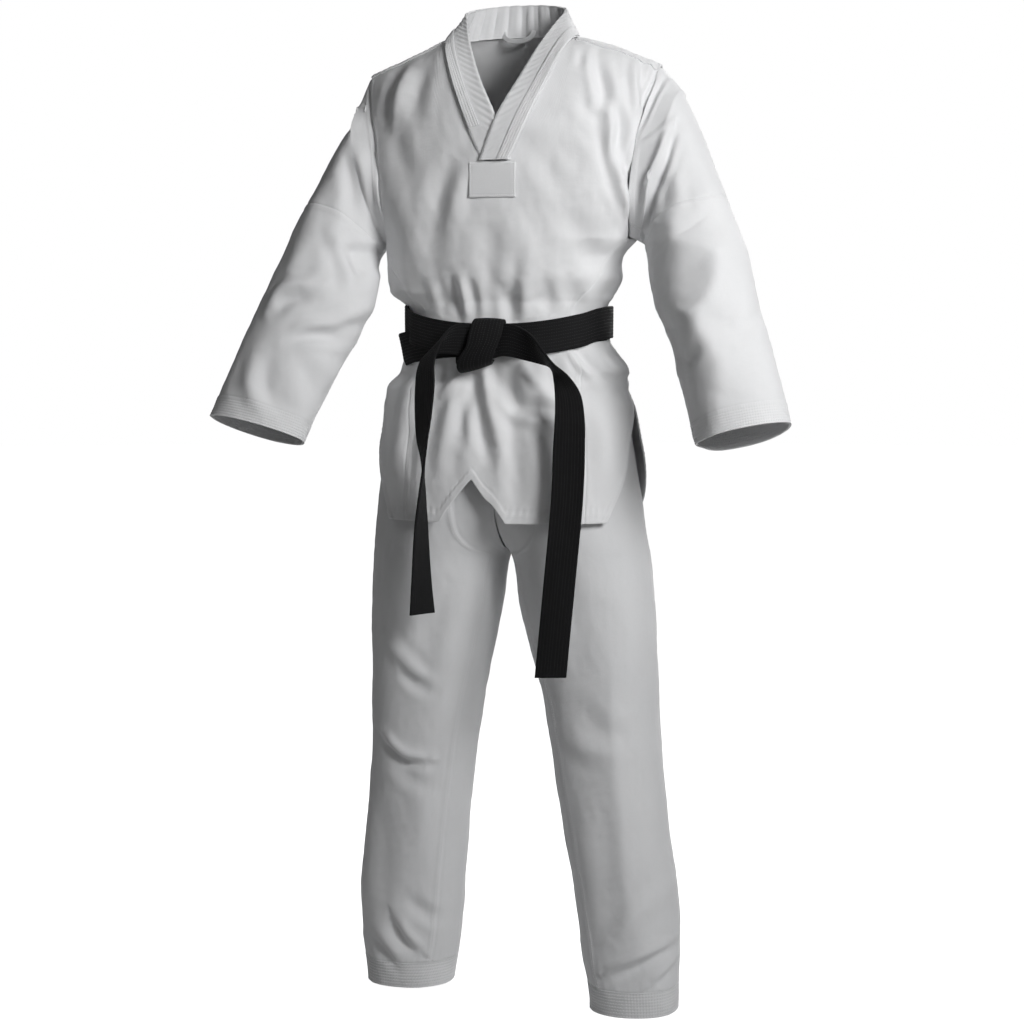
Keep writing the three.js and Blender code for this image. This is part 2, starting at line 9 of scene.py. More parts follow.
import bpy
import numpy as np
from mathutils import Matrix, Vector


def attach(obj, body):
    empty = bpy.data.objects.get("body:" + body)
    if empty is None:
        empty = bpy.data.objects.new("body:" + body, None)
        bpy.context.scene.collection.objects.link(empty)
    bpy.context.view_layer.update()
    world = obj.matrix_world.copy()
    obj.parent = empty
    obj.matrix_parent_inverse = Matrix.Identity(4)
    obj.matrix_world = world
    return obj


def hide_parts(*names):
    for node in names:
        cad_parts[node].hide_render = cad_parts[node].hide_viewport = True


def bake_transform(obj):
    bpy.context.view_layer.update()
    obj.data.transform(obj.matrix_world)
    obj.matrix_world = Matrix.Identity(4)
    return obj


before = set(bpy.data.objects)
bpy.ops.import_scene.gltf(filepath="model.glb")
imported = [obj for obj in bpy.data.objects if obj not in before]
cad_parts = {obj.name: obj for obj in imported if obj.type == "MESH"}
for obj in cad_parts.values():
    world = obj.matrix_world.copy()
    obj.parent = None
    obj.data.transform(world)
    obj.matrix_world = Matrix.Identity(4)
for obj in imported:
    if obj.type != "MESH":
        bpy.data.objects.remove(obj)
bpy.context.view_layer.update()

# ---------- driving dimensions, the CAD's own ----------
MOUNT_Z = 1355.0
SECTION, CAP, LEG_SECTION = 2.4, 2.6, 2.2   # powers of the body's, shoulders' and legs' rounded sections
CHEST_Z, ARMPIT_Z, SPLIT_Z, HEM_Z, CROTCH_Z, WAIST_Z = 1150.0, 1085.0, 955.0, 695.0, 644.0, 934.0
LEG_BAND = 36.0
BELT_WIDTH, BELT_THICK, BELT_FRONT_Z = 45.0, 3.5, 945.0
CLOTH = 1.7
SHOULDER_X, NECK_X, NECK_Z = 206, 92, 1362
V_FOOT_X, V_FOOT_Z, V_BEND = 18, 1188, 0.9   # where the lapels cross, and the power that bends the V's edges
BAND_X, BAND_Z = 71, 1402   # the free edge of the neck band, where the lapels meet it
SIDES = (("left", 1), ("right", -1))
rng = np.random.default_rng(41)


# ---------- camera ----------
def add_object(name, data):
    obj = bpy.data.objects.new(name, data)
    bpy.context.scene.collection.objects.link(obj)
    return obj


def aim(obj, direction):
    obj.rotation_mode = "QUATERNION"
    obj.rotation_quaternion = direction.to_track_quat("-Z", "Y")


def add_camera(turn=math.radians(13), rise=math.radians(5), distance=3.3, target_z=700, lens=81.67):
    back = Vector((math.sin(turn) * math.cos(rise), -math.cos(turn) * math.cos(rise), math.sin(rise)))
    data = bpy.data.cameras.new("camera")
    data.lens, data.sensor_width = lens, 36
    camera = add_object("camera", data)
    camera.location = Vector((0, 0, (target_z - MOUNT_Z) / 1000)) + back * distance
    aim(camera, -back)
    bpy.context.scene.camera = camera


add_camera()


# ---------- small maths ----------
def lerp(a, b, t):
    return a + (b - a) * t


def smooth(t):
    """Rises from 0 to 1 as t does."""
    t = np.clip(t, 0, 1)
    return t * t * (3 - 2 * t)


def power(value, p):
    return np.sign(value) * np.abs(value) ** p


def bump(t):
    """A bell, 1 at 0."""
    return np.exp(-t * t)


def vec(*parts):
    return np.stack(np.broadcast_arrays(*[np.asarray(p, float) for p in parts]), -1)


def unit(v):
    return v / (np.linalg.norm(v, axis=-1, keepdims=True) + 1e-12)


def run_along(line):
    """How far along a line each of its points is."""
    return np.concatenate([[0], np.cumsum(np.linalg.norm(np.diff(line, axis=0), axis=1))])


def wave(along, pitch, phase=0):
    return np.sin(2 * np.pi * along / pitch + phase)


def bumps(away, rows, width):
    return sum(bump((away - row) / width) for row in rows)


def around(angle):
    """Cosine and sine of an angle in degrees."""
    return np.cos(np.radians(angle)), np.sin(np.radians(angle))


class Table:
    """A smooth value of height that never overshoots its rows (Fritsch-Carlson slopes)."""

    def __init__(self, rows):
        t = np.array(rows, float)
        self.x, self.y = t[:, 0], t[:, 1:]
        s = np.diff(self.y, axis=0) / np.diff(self.x)[:, None]
        self.m = np.zeros_like(self.y)
        self.m[0], self.m[-1] = s[0], s[-1]
        a, b = s[:-1], s[1:]
        same = a * b > 0
        self.m[1:-1] = np.where(same, 2 * a * b / np.where(same, a + b, 1), 0)

    def __call__(self, z, column=1):
        z = np.clip(z, self.x[0], self.x[-1])
        i = np.clip(np.searchsorted(self.x, z, side="left") - 1, 0, len(self.x) - 2)
        h = self.x[i + 1] - self.x[i]
        t, c = (z - self.x[i]) / h, column - 1
        y, m = self.y[:, c], self.m[:, c]
        return ((1 + 2 * t) * (1 - t) ** 2 * y[i] + t * (1 - t) ** 2 * h * m[i]
                + t * t * (3 - 2 * t) * y[i + 1] + t * t * (t - 1) * h * m[i + 1])


class Curve:
    """Centripetal Catmull-Rom curve through points; t runs from 0 to 1 in equal steps per span."""

    def __init__(self, points):
        p = np.array(points, float)
        self.n = len(p) - 1
        p = np.vstack([2 * p[0] - p[1], p, 2 * p[-1] - p[-2]])
        d = np.maximum(np.linalg.norm(np.diff(p[:, :3], axis=0), axis=1) ** 0.5, 1e-4)
        self.c = []
        for k in range(self.n):
            a, b, c, e = p[k:k + 4]
            d0, d1, d2 = d[k:k + 3]
            t1 = ((b - a) / d0 - (c - a) / (d0 + d1) + (c - b) / d1) * d1
            t2 = ((c - b) / d1 - (e - b) / (d1 + d2) + (e - c) / d2) * d1
            self.c.append([b, t1, -3 * b + 3 * c - 2 * t1 - t2, 2 * b - 2 * c + t1 + t2])
        self.c = np.array(self.c)

    def __call__(self, t):
        t = np.clip(np.asarray(t, float), 0, 1) * self.n
        i = np.minimum(t.astype(int), self.n - 1)
        w = (t - i)[..., None]
        c = self.c[i]
        return c[..., 0, :] + w * (c[..., 1, :] + w * (c[..., 2, :] + w * c[..., 3, :]))

    def even(self, step):
        """Points an equal step apart along the curve."""
        fine = self(np.linspace(0, 1, 60 * self.n))
        run = run_along(fine[:, :3])
        s = np.linspace(0, run[-1], max(3, int(round(run[-1] / step)) + 1))
        return np.stack([np.interp(s, run, fine[:, k]) for k in range(fine.shape[1])], -1)


def waves(count, low, high, stretch=(1, 1, 1)):
    """A smooth irregular field: many sines of random direction, wavelengths low to high in millimetres."""
    k = unit(rng.normal(size=(count, 3)))
    k *= (2 * np.pi / np.exp(rng.uniform(np.log(low), np.log(high), count)))[:, None] / np.array(stretch)
    phase = rng.uniform(0, 2 * np.pi, count)

    def field(p):
        return np.sin(p @ k.T + phase).sum(-1) / math.sqrt(count)
    return field


# ---------- surfaces, as in the CAD ----------
# The first number of each row is a height. CENTRE is the middle's x, JACKET the half width and the depth of the
# front and back, TROUSERS the outer and inner x and the depths of one leg.
CENTRE = Table([[0, 18], [285, 9.5], [570, 1], [745, -4], [995, -5], [1060, 0], [1150, 5], [1420, 5]])
JACKET = Table([
    [690, 200, 128, 122], [745, 197, 124, 120], [800, 189, 119, 117], [850, 178, 112, 112], [876, 164, 105, 104],
    [898, 144, 99, 96], [996, 144, 98, 93], [1012, 158, 104, 97], [1032, 169, 112, 102], [1060, 173, 117, 104],
    [1085, 176, 119, 104], [1150, 215, 120, 104], [1420, 215, 120, 104]])
TROUSERS = Table([
    [0, 230, 108, 58, 60], [40, 232, 104, 62, 64], [90, 236, 95, 66, 68], [130, 236, 90, 67, 69],
    [285, 218, 72, 72, 76], [430, 209, 48, 80, 84], [570, 203, 16, 92, 96], [640, 198, 4, 100, 104],
    [662, 196, -12, 101, 103], [700, 192, -60, 104, 105], [745, 188, -115, 106, 106], [800, 180, -162, 105, 105],
    [850, 168, -168, 101, 102], [876, 154, -154, 96, 97], [900, 137, -137, 92, 88], [980, 137, -137, 91, 86]])
# Where each foot stands: how far ahead or behind, and how high.
LEG_SHIFT_Y = {"left": -50, "right": 5}
LEG_START = {"left": 10.0, "right": 16.0}
# Seams as angles round the body, then the x of the armhole.
SIDE_SEAM = Table([[690, 36], [864, 41], [955, 41], [990, 45], [1034, 61], [1081, 75]])
VENT = Table([[690, 47], [745, 61], [793, 73], [862, 89], [900, 89.6]])
BACK_VENT = Table([[690, 126], [745, 108], [793, 98], [862, 91.5], [900, 90.4]])
ARMHOLE = Table([[ARMPIT_Z, 171], [1110, 174], [1150, 177], [1213, 184], [1257, 195], [1300, 204], [1420, 206]])
# Rows across the left sleeve: outer x and z, inner x and z, y, half depth and tilt.
SLEEVE = Table([[k + 1, *row] for k, row in enumerate([
    [236, 1281, 184, 1075, -6, 74, 3], [268, 1212, 187, 1063, -22, 71, 9], [302, 1134, 189, 1050, -44, 67, 15],
    [323, 1080, 190, 1030, -62, 63, 19], [343, 1027, 193, 985, -87, 61, 21], [361, 972, 220, 930, -110, 58, 21],
    [379, 916, 243, 875, -131, 55, 21], [395, 864, 259, 829, -150, 52, 21], [402, 838, 267, 806, -159, 50, 21]])])
GUSSET_TURN = 0.1   # half of the gusset's share of a turn round the sleeve
WRAPS = {"belt_inner_wrap": (966, 929, 958), "belt_outer_wrap": (969, 971, 968)}   # heights left, right and behind
HEM_HALF, NOTCH_LEFT, NOTCH_APEX, NOTCH_RIGHT, NOTCH_HEIGHT = 127, -60, -16, 15, 60


FRONT, BACK = 2, 3   # the columns of JACKET that hold the depth of each face


def girth(table, angle, z):
    c, s = around(angle)
    b = np.where(c > 0, table(z, 2), table(z, 3))
    return vec(CENTRE(z) + table(z, 1) * power(s, 2 / SECTION), -b * power(c, 2 / SECTION), z)


def ridge(x):
    """Height of the shoulder line."""
    return NECK_Z - 0.4 * (np.abs(x) - NECK_X)


def front_neck_x(z):
    return V_FOOT_X + (NECK_X - V_FOOT_X) * np.clip((z - V_FOOT_Z) / (NECK_Z - V_FOOT_Z), 0, 1) ** V_BEND


def back_neck_z(x):
    return NECK_Z + 10 * (1 - (x / NECK_X) ** 2)


def rounded(up):
    return (1 - up ** CAP) ** (1 / CAP)


def thickness_at(x, z, face):
    inside = 1 - np.minimum(1, np.abs(x) / JACKET(z, 1)) ** SECTION
    return JACKET(z, face) * inside ** (1 / SECTION)


def depth(x, z, face):
    """How far a face stands from x's plane, rounded off towards the shoulder line."""
    up = np.clip((z - CHEST_Z) / (ridge(x) - CHEST_Z), 0, 1)
    return thickness_at(x, z, face) * rounded(up)


def column_top(x, face):
    """Height of a panel's upper edge: the shoulder line, or just under the neck seam."""
    width = NECK_X - V_FOOT_X
    v = V_FOOT_Z + (NECK_Z - V_FOOT_Z) * (np.clip(np.abs(x) - V_FOOT_X, 0, width) / width) ** (1 / V_BEND)
    return np.where(np.abs(x) >= NECK_X, ridge(x), (back_neck_z(x) if face == BACK else v) - 1.5)


def panel_edge(z):
    below = JACKET(z, 1) * power(np.sin(np.radians(SIDE_SEAM(z))), 2 / SECTION)
    return np.where(z >= ARMPIT_Z, ARMHOLE(z), below)


COLUMN_TURN = 1.25   # draws a panel's columns together towards its sides


def body_panel(face):
    def surface(u, v):
        s = np.sin((2 * u - 1) * COLUMN_TURN) / math.sin(COLUMN_TURN)
        tip, top = ridge(s * SHOULDER_X), column_top(s * SHOULDER_X, face)
        last = np.arcsin(np.clip((top - CHEST_Z) / (tip - CHEST_Z), 0, 1) ** (CAP / 2))
        arc = power(np.sin(np.clip(last * (v - 0.5) / 0.5, -1.57, 1.57)), 2 / CAP)
        z = np.where(v < 0.5, lerp(SPLIT_Z, CHEST_Z, v / 0.5), CHEST_Z + (tip - CHEST_Z) * arc)
        x = s * panel_edge(z)
        up = np.clip((z - CHEST_Z) / (tip - CHEST_Z), 0, 1)
        y = thickness_at(x, z, face) * rounded(up)
        return vec(x + CENTRE(z), -y if face == FRONT else y, z)
    return surface


def side_piece(start, stop, low, high):
    def surface(u, v):
        z = lerp(low(u), high, v)
        return girth(JACKET, lerp(start(z), stop(z), u), z)
    return surface


# How far the outline stands out (or in) at the sides, as rows of height and millimetres.
BODY_LEFT = Table([[860, 0], [874, 3], [883, 12], [891, 19], [900, 25], [908, 22], [916, 16], [925, 9.5], [940, 3],
                   [955, 0], [985, 1], [1000, 3], [1008, -4], [1016, -7], [1033, -10], [1041, -13], [1050, -15],
                   [1058, -15], [1066, -12], [1074, -6], [1082, 0]])
BODY_RIGHT = Table([[790, -6], [812, -7], [860, 0], [887, 10], [905, 5], [925, 0], [985, 0], [1000, 7], [1009, 7],
                    [1019, 2], [1030, 0]])
SLEEVE_OUTER_RIGHT = Table([[840, 0], [883, -3.5], [944, -5], [977, -6], [1000, -7.5], [1022, -9.5], [1045, -7.5],
                            [1068, -6], [1102, -4], [1136, -5], [1159, -6], [1184, -4], [1213, -1.5], [1300, 0]])
SLEEVE_INNER_RIGHT = Table([[940, 0], [966, -5], [990, 0], [1030, 0], [1046, -6], [1066, -9], [1080, 0]])
SLEEVE_INNER_LEFT = Table([[790, -9], [813, -9], [832, -10.5], [863, -11.5], [895, -12.5], [927, -18], [943, -18],
                           [959, -20], [975, -19], [999, -15], [1030, -9], [1070, -4], [1100, 0]])


def shaped(surface):
    """The jacket's own surface, drawn in or out at the wearer's sides."""
    def moved(u, v):
        p = surface(u, v)
        z = p[..., 2]
        s = np.sin(np.arctan2(p[..., 0] - CENTRE(z), -p[..., 1]))
        p[..., 0] += smooth((s - 0.5) / 0.4) * BODY_LEFT(z) - smooth((-s - 0.5) / 0.4) * BODY_RIGHT(z)
        return p
    return moved


UNDERARM_X, ARMHOLE_GAP = 177, 1.6


def armhole_line(face):
    """The seam between a panel and the sleeve from the shoulder to under the arm, and how far along each point is."""
    z = np.linspace(ridge(SHOULDER_X), ARMPIT_Z, 60)
    x = ARMHOLE(z)
    line = vec(x, (-1 if face == FRONT else 1) * depth(x, z, face), z)
    t = np.linspace(0, 1, 9)[1:]
    x, y, z = line[-1]
    line = np.vstack([line, vec(lerp(x, UNDERARM_X, t), y * (1 - t), z - 1.5 * t)])
    run = run_along(line)
    return line, run / run[-1]


ARMHOLE_LINES = {face: armhole_line(face) for face in (FRONT, BACK)}


def sleeve_point(turn, k):
    """A point of the left sleeve: k is 0 at the armhole, 1 to 9 at the rows of SLEEVE."""
    turn, k = np.broadcast_arrays(np.asarray(turn, float), np.asarray(k, float))
    t = turn - np.floor(turn)
    front, share = t < 0.5, 2 * np.minimum(t, 1 - t)
    outer_x, outer_z, inner_x, inner_z, y, deep, tilt = (SLEEVE(np.maximum(1, k), c) for c in range(1, 8))
    outer, inner = vec(outer_x, y, outer_z), vec(inner_x, y, inner_z)
    tilt, angle = np.radians(tilt), np.pi * share
    forward = vec(np.zeros_like(tilt), -np.cos(tilt), np.sin(tilt))
    reach = (np.where(front, 1, -1) * deep * np.sin(angle))[..., None]
    p = (outer + inner) / 2 + (outer - inner) * 0.5 * np.cos(angle)[..., None] + forward * reach
    edge = np.empty(p.shape)
    for face, use in ((FRONT, front), (BACK, ~front)):
        line, run = ARMHOLE_LINES[face]
        for c in range(3):
            edge[..., c] = np.where(use, np.interp(share, run, line[:, c]), edge[..., c])
    edge[..., 0] -= ARMHOLE_GAP
    return lerp(edge, p, np.clip(k, 0, 1)[..., None])


def sleeve_shift(k):
    """Both sleeves hang a little towards the wearer's left."""
    return lerp(5, 10, smooth(k / 4))


def sleeve(s):
    def surface(turn, k):
        p = sleeve_point(turn, k)
        p[..., 0] = s * p[..., 0] + sleeve_shift(k)
        front = np.clip(np.sin(2 * np.pi * turn), 0, 1)
        p[..., 2] -= (8 if s > 0 else 4) * front * smooth((k - 6.5) / 2.5)   # the cuff's front hangs lower
        if s < 0:   # the right sleeve is drawn in where it leaves the shoulder
            p[..., 0] += 10 * smooth((5 - p[..., 0] - 203) / 16) * bump((p[..., 2] - 1264) / 20)
        return p
    return surface


def sleeve_middle(s, k):
    c = (sleeve_point(0, k) + sleeve_point(0.5, k)) / 2
    return np.array([s * c[0] + sleeve_shift(k), c[1], c[2]])


FREE_EDGE = Curve([[-22, -119.5, 1187], [0, -115, 1247], [25, -97, 1297], [50, -58, 1353], [BAND_X, 6, BAND_Z]])


def lapel_surface(s, lift):
    def surface(t, w):
        z = lerp(V_FOOT_Z, NECK_Z, t)
        x = front_neck_x(z)
        seam = vec(x, -depth(x, z, FRONT), z)
        p = lerp(seam, FREE_EDGE(t), w[..., None] if np.ndim(w) else w)
        p[..., 0] = s * p[..., 0] + CENTRE(p[..., 2])
        p[..., 1] -= lift(t) * (1 - 0.7 * t ** 4)
        return p
    return surface


# Height of each lapel over the jacket; near its foot the left one lies over the right one.
LAPEL_LIFT = {"left": lambda t: 3.6 + 3.8 * (1 - smooth((t - 0.3) / 0.3)), "right": lambda t: 3.6}


def neck_band(u, w):
    """The collar's back part, from the wearer's left neck point to the right one."""
    angle = np.pi * u
    x = NECK_X * np.cos(angle)
    low = vec(x, depth(x, back_neck_z(x), BACK), back_neck_z(x))
    high = vec(BAND_X * np.cos(angle), 6 + 56 * np.sin(angle), BAND_Z + 14 * np.sin(angle))
    p = lerp(low, high, w[..., None])
    p[..., 0] += CENTRE(1400.0)
    return p


def wrap_z(angle, heights):
    """Height of a belt wrap's middle at an angle round the waist, from its heights at the left, right and back."""
    c, s = around(angle)
    left, right, back = heights
    return (BELT_FRONT_Z * np.maximum(c, 0) ** 2 + back * np.maximum(-c, 0) ** 2
            + left * np.maximum(s, 0) ** 2 + right * np.maximum(-s, 0) ** 2)


def leg_lean(side, z):
    """How far the foot stands ahead (negative) or behind, at height z."""
    return LEG_SHIFT_Y[side] * np.clip((CROTCH_Z - z) / CROTCH_Z, 0, 1)


def leg_point(side, s, angle, z):
    ahead, out = around(angle)
    outer, inner = TROUSERS(z, 1), TROUSERS(z, 2)
    x = (outer + inner) / 2 + (outer - inner) / 2 * power(out, 2 / LEG_SECTION)
    deep = np.where(ahead > 0, TROUSERS(z, 3), TROUSERS(z, 4)) * power(ahead, 2 / LEG_SECTION)
    return vec(s * x + CENTRE(z), leg_lean(side, z) - deep, z)


def inner_angle(z):
    outer, inner = TROUSERS(z, 1), TROUSERS(z, 2)
    reach = (outer + inner) / (outer - inner)
    angle = -np.degrees(np.arcsin(np.clip(power(reach, LEG_SECTION / 2), -1, 1)))
    return np.where(reach >= 1, -90, np.maximum(-90, angle))


# ---------- folds ----------
def fold_lines(text, side=1):
    """Reads a text table of folds; side -1 mirrors it."""
    lines = []
    for words in (entry.split() for entry in text.split("|")):
        kind = words.pop(0) if words[0].isalpha() else "ridge"
        width, height, *points = map(float, words)
        lines.append((np.array(points).reshape(-1, 2) * [side, 1], width, height, kind))
    return lines


def strokes(x, z, lines):
    """Height of listed folds over x and z, in millimetres. A fold is a ridge (a valley when its height is
    negative), a step, which rises on the line's left and sinks on its right, or a crest, where two flat faces meet."""
    out = np.zeros(x.shape)
    for points, width, height, kind in lines:
        line = Curve(points)(np.linspace(0, 1, 6 * len(points)))
        reach = 3.4 * width   # beyond it a fold is too low to matter
        near = ((x > line[:, 0].min() - reach) & (x < line[:, 0].max() + reach)
                & (z > line[:, 1].min() - reach) & (z < line[:, 1].max() + reach))
        if not near.any():
            continue
        q = np.stack([x[near], z[near]], -1)[:, None]
        a, d = line[:-1], np.diff(line, axis=0)
        size = np.linalg.norm(d, axis=1)
        t = np.clip(((q - a) * d).sum(-1) / size ** 2, 0, 1)
        gap = q - (a + t[..., None] * d)
        dist = np.linalg.norm(gap, axis=-1)
        k = dist.argmin(1)
        row = np.arange(len(k))
        run = np.concatenate([[0], np.cumsum(size)])
        along = (run[k] + t[row, k] * size[k]) / run[-1]
        g = dist[row, k] / (0.9 * width)
        if kind == "step":
            side = np.sign(d[k, 0] * gap[row, k, 1] - d[k, 1] * gap[row, k, 0])
            shape = side * g * np.exp(-g * g) * 2.2
        elif kind == "crest":
            shape = np.exp(0.3 - np.sqrt(g * g + 0.09))
        else:
            shape = np.exp(-g * g) - 0.3 * np.exp(-((g - 1.9) / 0.8) ** 2)
        out[near] += 1.2 * height * np.sin(np.pi * np.clip(along, 0.03, 0.97)) ** 0.6 * shape
    return out


broad = waves(12, 110, 240, (1, 1, 1.8))
middle_wave = waves(16, 38, 90, (1, 1, 1.5))
fine_wave = waves(18, 12, 26)
pleat_phase = rng.uniform(0, 2 * np.pi, 8)


def pleats(turn):
    """Uneven gathers round the body, about -1 to 1."""
    total = 0
    for n, share, phase in zip((9, 13, 17, 22, 27), (0.5, 0.8, 0.7, 0.45, 0.3), pleat_phase):
        total = total + share * np.sin(n * turn + phase + 0.7 * np.sin(2 * turn + phase))
    return total / 1.5


# Folds as text: width and height, then x and z of each point, in millimetres. A step or a crest says so first.
CHEST_FOLDS = fold_lines("""
    6 -2.5 112 1340 114 1312 | 9 -7.5 126 1344 138 1308 146 1280 147 1250 | 9 -4 138 1340 156 1314 170 1298 |
    6 4 179 1325 185 1282 192 1244 | 7 -4 187 1316 195 1272 197 1243 191 1196 |
    7 -5 160 1264 170 1235 165 1198 171 1172 | 8 6 152 1256 158 1211 168 1168 182 1120 |
    7 -5 178 1200 183 1160 188 1122 | 10 -3 119 1272 130 1252 148 1234 | 5 -5 206 1326 203 1295 198 1262 |
    14 -3 92 1210 112 1185 120 1160 | 15 5 -126 1325 -142 1285 -150 1246 | 10 -3.5 -150 1320 -160 1275 -164 1235 |
    13 -2.5 -104 1322 -112 1280 -112 1240 | 16 -2.5 -150 1240 -138 1200 -120 1165 |
    16 -4 -48 1194 -71 1157 -83 1112 -88 1054 | 14 2.5 -30 1190 -48 1150 -56 1100 | 17 -3 67 1198 85 1170 110 1140 |
    18 2 40 1240 66 1226 96 1222 | 18 2.5 20 1120 40 1075 44 1030 | 16 -2.5 -12 1110 -6 1060 -14 1015 |
    17 -3 96 1120 120 1085 128 1040 | 15 3 -140 1150 -128 1105 -118 1050 | 8 4.5 -46 1032 -42 1000 -40 972 |
    8 -3.5 -62 1035 -58 1005 -55 975 | 9 3.5 -92 1030 -86 1006 -80 984 | 9 -4 8 1030 10 1003 9 972 |
    9 2.5 -20 1040 -18 1005 -16 974 | 10 3 40 1036 38 1008 36 980 | 10 -3.5 72 1042 66 1010 62 984 |
    9 3.5 128 1046 122 1020 116 992 | 9 -3 104 1040 98 1014 94 990 | 10 -6 -31 908 -25 858 -18 822 -3 786 |
    11 -5 -33 905 -42 858 -49 812 | 9 4 -52 906 -68 880 -84 864 | 14 4 -60 880 -70 820 -78 750 |
    9 4 -16 900 -6 858 12 812 | 11 -6 -5 916 14 884 36 858 61 852 92 850 | 13 3.5 22 908 46 878 88 866 |
    11 4.5 40 842 66 836 92 822 | 16 3.5 54 816 62 760 62 720 | 16 -3.5 -30 822 -16 796 -6 760 |
    8 -4 104 936 130 908 170 872 | 6 3.5 98 934 113 914 136 892 | 16 -2.5 112 850 120 800 122 740 |
    15 3 140 860 150 810 154 750 | 14 -3.5 -112 880 -124 820 -128 750 | 14 2.5 -126 870 -140 810 -146 750""")
BACK_FOLDS = fold_lines("""
    22 -3.5 -60 1330 -72 1270 -60 1190 | 22 -3.5 66 1325 82 1260 70 1180 |
    20 4 -150 1300 -140 1230 -112 1150 -70 1060 | 20 4 150 1300 144 1225 112 1140 | 26 -3 0 1290 6 1210 -4 1120 |
    13 4 -40 1110 -30 1050 -34 996 | 13 -4 40 1120 34 1050 28 996 | 13 -4 -96 1090 -84 1040 -76 996 |
    13 4 100 1080 90 1035 84 996 | 12 3.5 4 1080 0 1035 2 996 | 15 -4.5 -70 925 -82 860 -92 780 |
    15 -4.5 64 925 78 855 84 770 | 15 4 -24 925 -28 850 -30 760 | 17 -3.5 20 922 26 850 34 740 |
    14 3.5 120 900 132 840 140 770 | 14 3.5 -120 900 -134 840 -142 770""")
SLEEVE_FOLDS = {
    "left": fold_lines("""
    step 9 -9 238 1232 226 1184 211 1149 202 1112 197 1092 | 7 3 244 1216 232 1172 218 1138 |
    4 -3.5 221 1308 209 1274 199 1243 190 1222 | 3.5 2.5 190 1206 212 1220 231 1234 |
    crest 27 13 220 1138 234 1117 249 1095 254 1077 269 1069 287 1066 303 1057 308 1038 308 1020 302 999 290 978
    294 960 304 943 318 920 322 895 318 869 | 8 2.5 253 987 272 981 289 981 |
    10 -2 361 1015 363 978 345 957 323 960 | 9 -3 262 913 281 923 297 939 | 12 -4 226 1170 232 1130 230 1100 |
    18 -2 262 1200 268 1160 258 1110"""),
    "right": fold_lines("""
    10 -5 -158 1176 -150 1120 -141 1084 | 10 4 -174 1190 -168 1140 -158 1092 |
    11 4.5 -204 1210 -190 1165 -186 1116 | 10 -3 -218 1200 -208 1150 -204 1110 |
    16 -2.5 -240 1180 -246 1130 -240 1096 | 10 4.5 -228 1094 -210 1058 -198 1016 |
    9 -4 -214 1090 -196 1050 -186 1010 | 10 5 -310 985 -299 1010 -272 1022 -236 1020 |
    10 -4.5 -296 985 -276 1000 -244 1002 | 9 -5 -272 946 -240 952 -206 942 | 9 4.5 -258 964 -218 970 -186 984 |
    12 3 -244 928 -226 900 -222 868 | 13 3.5 -319 930 -324 885 -304 850 | 12 -3 -300 925 -298 880 -276 845 |
    14 2.5 -268 1080 -280 1050 -288 1024 | 11 2.5 -270 912 -262 880 -250 848""")}
LEG_FOLDS = {
    "left": fold_lines("""
    crest 26 8 151 590 160 480 166 383 178 260 190 154 210 96 | 20 3 60 640 84 560 100 470 |
    18 3 176 600 186 520 182 440 | 15 -3 120 440 150 410 186 398 | 14 3 96 400 130 380 160 376 |
    step 12 -8 250 112 204 93 158 70 | step 10 -4.5 252 84 222 58 | 14 4 236 186 200 160 166 120 |
    20 2.5 120 300 132 220 140 130 | 9 -3 214 80 190 60 170 48"""),
    "right": fold_lines("""
    12 4.5 -160 524 -134 486 -106 468 | 10 -4.5 -150 500 -124 466 -98 452 | step 10 6.5 -176 384 -142 356 -106 350 |
    12 -2.5 -160 350 -126 322 -96 310 | 18 -3 -60 620 -96 540 -110 460 | 18 3 -150 640 -156 580 -150 520 |
    20 3 -120 320 -116 250 -122 180 | 18 -3 -176 300 -172 220 -180 140 | step 11 5.5 -162 124 -142 90 -122 70 |
    11 -4 -140 150 -116 128 -92 116 | 11 3.5 -190 104 -168 80 -150 56 | 9 -3 -196 84 -172 62 -156 46""")}
LEG_BACK_FOLDS = """
    14 -4 60 590 100 560 150 570 | 13 4.5 50 470 96 446 150 452 | 12 -5 56 446 100 424 154 428 |
    14 3.5 60 400 110 384 150 392 | 20 3 110 330 130 240 150 160 | 12 -4.5 100 130 150 108 200 118 |
    11 4 104 104 150 84 204 92 | 20 3 90 690 110 640 120 590"""


def rumple(p, amount=1.0):
    """The cloth's unevenness, from broad to fine."""
    return amount * (1.5 * broad(p) + 0.6 * middle_wave(p) + 0.16 * fine_wave(p))


def shoulder_lift(p, n):
    """The wearer's left shoulder stands a little higher than the right one."""
    x = p[..., 0]
    height = np.where(x > 0, 8.0, -3.0) * smooth((np.abs(x) - 88) / 50) * smooth((p[..., 2] - 1180) / 90)
    return height * np.clip(n[..., 2], 0, 1)


BELT_Z, BELT_ABOVE, BELT_BELOW = 950, 22, 24   # the belt's height, and how far its hold reaches up and down


def at_side(out):
    """1 at the side of the body and 0 from some way round it; out is the sine of the angle."""
    return smooth((out - 0.72) / 0.2)


def faces_front(n):
    return smooth((0.15 - n[..., 1]) / 0.4)


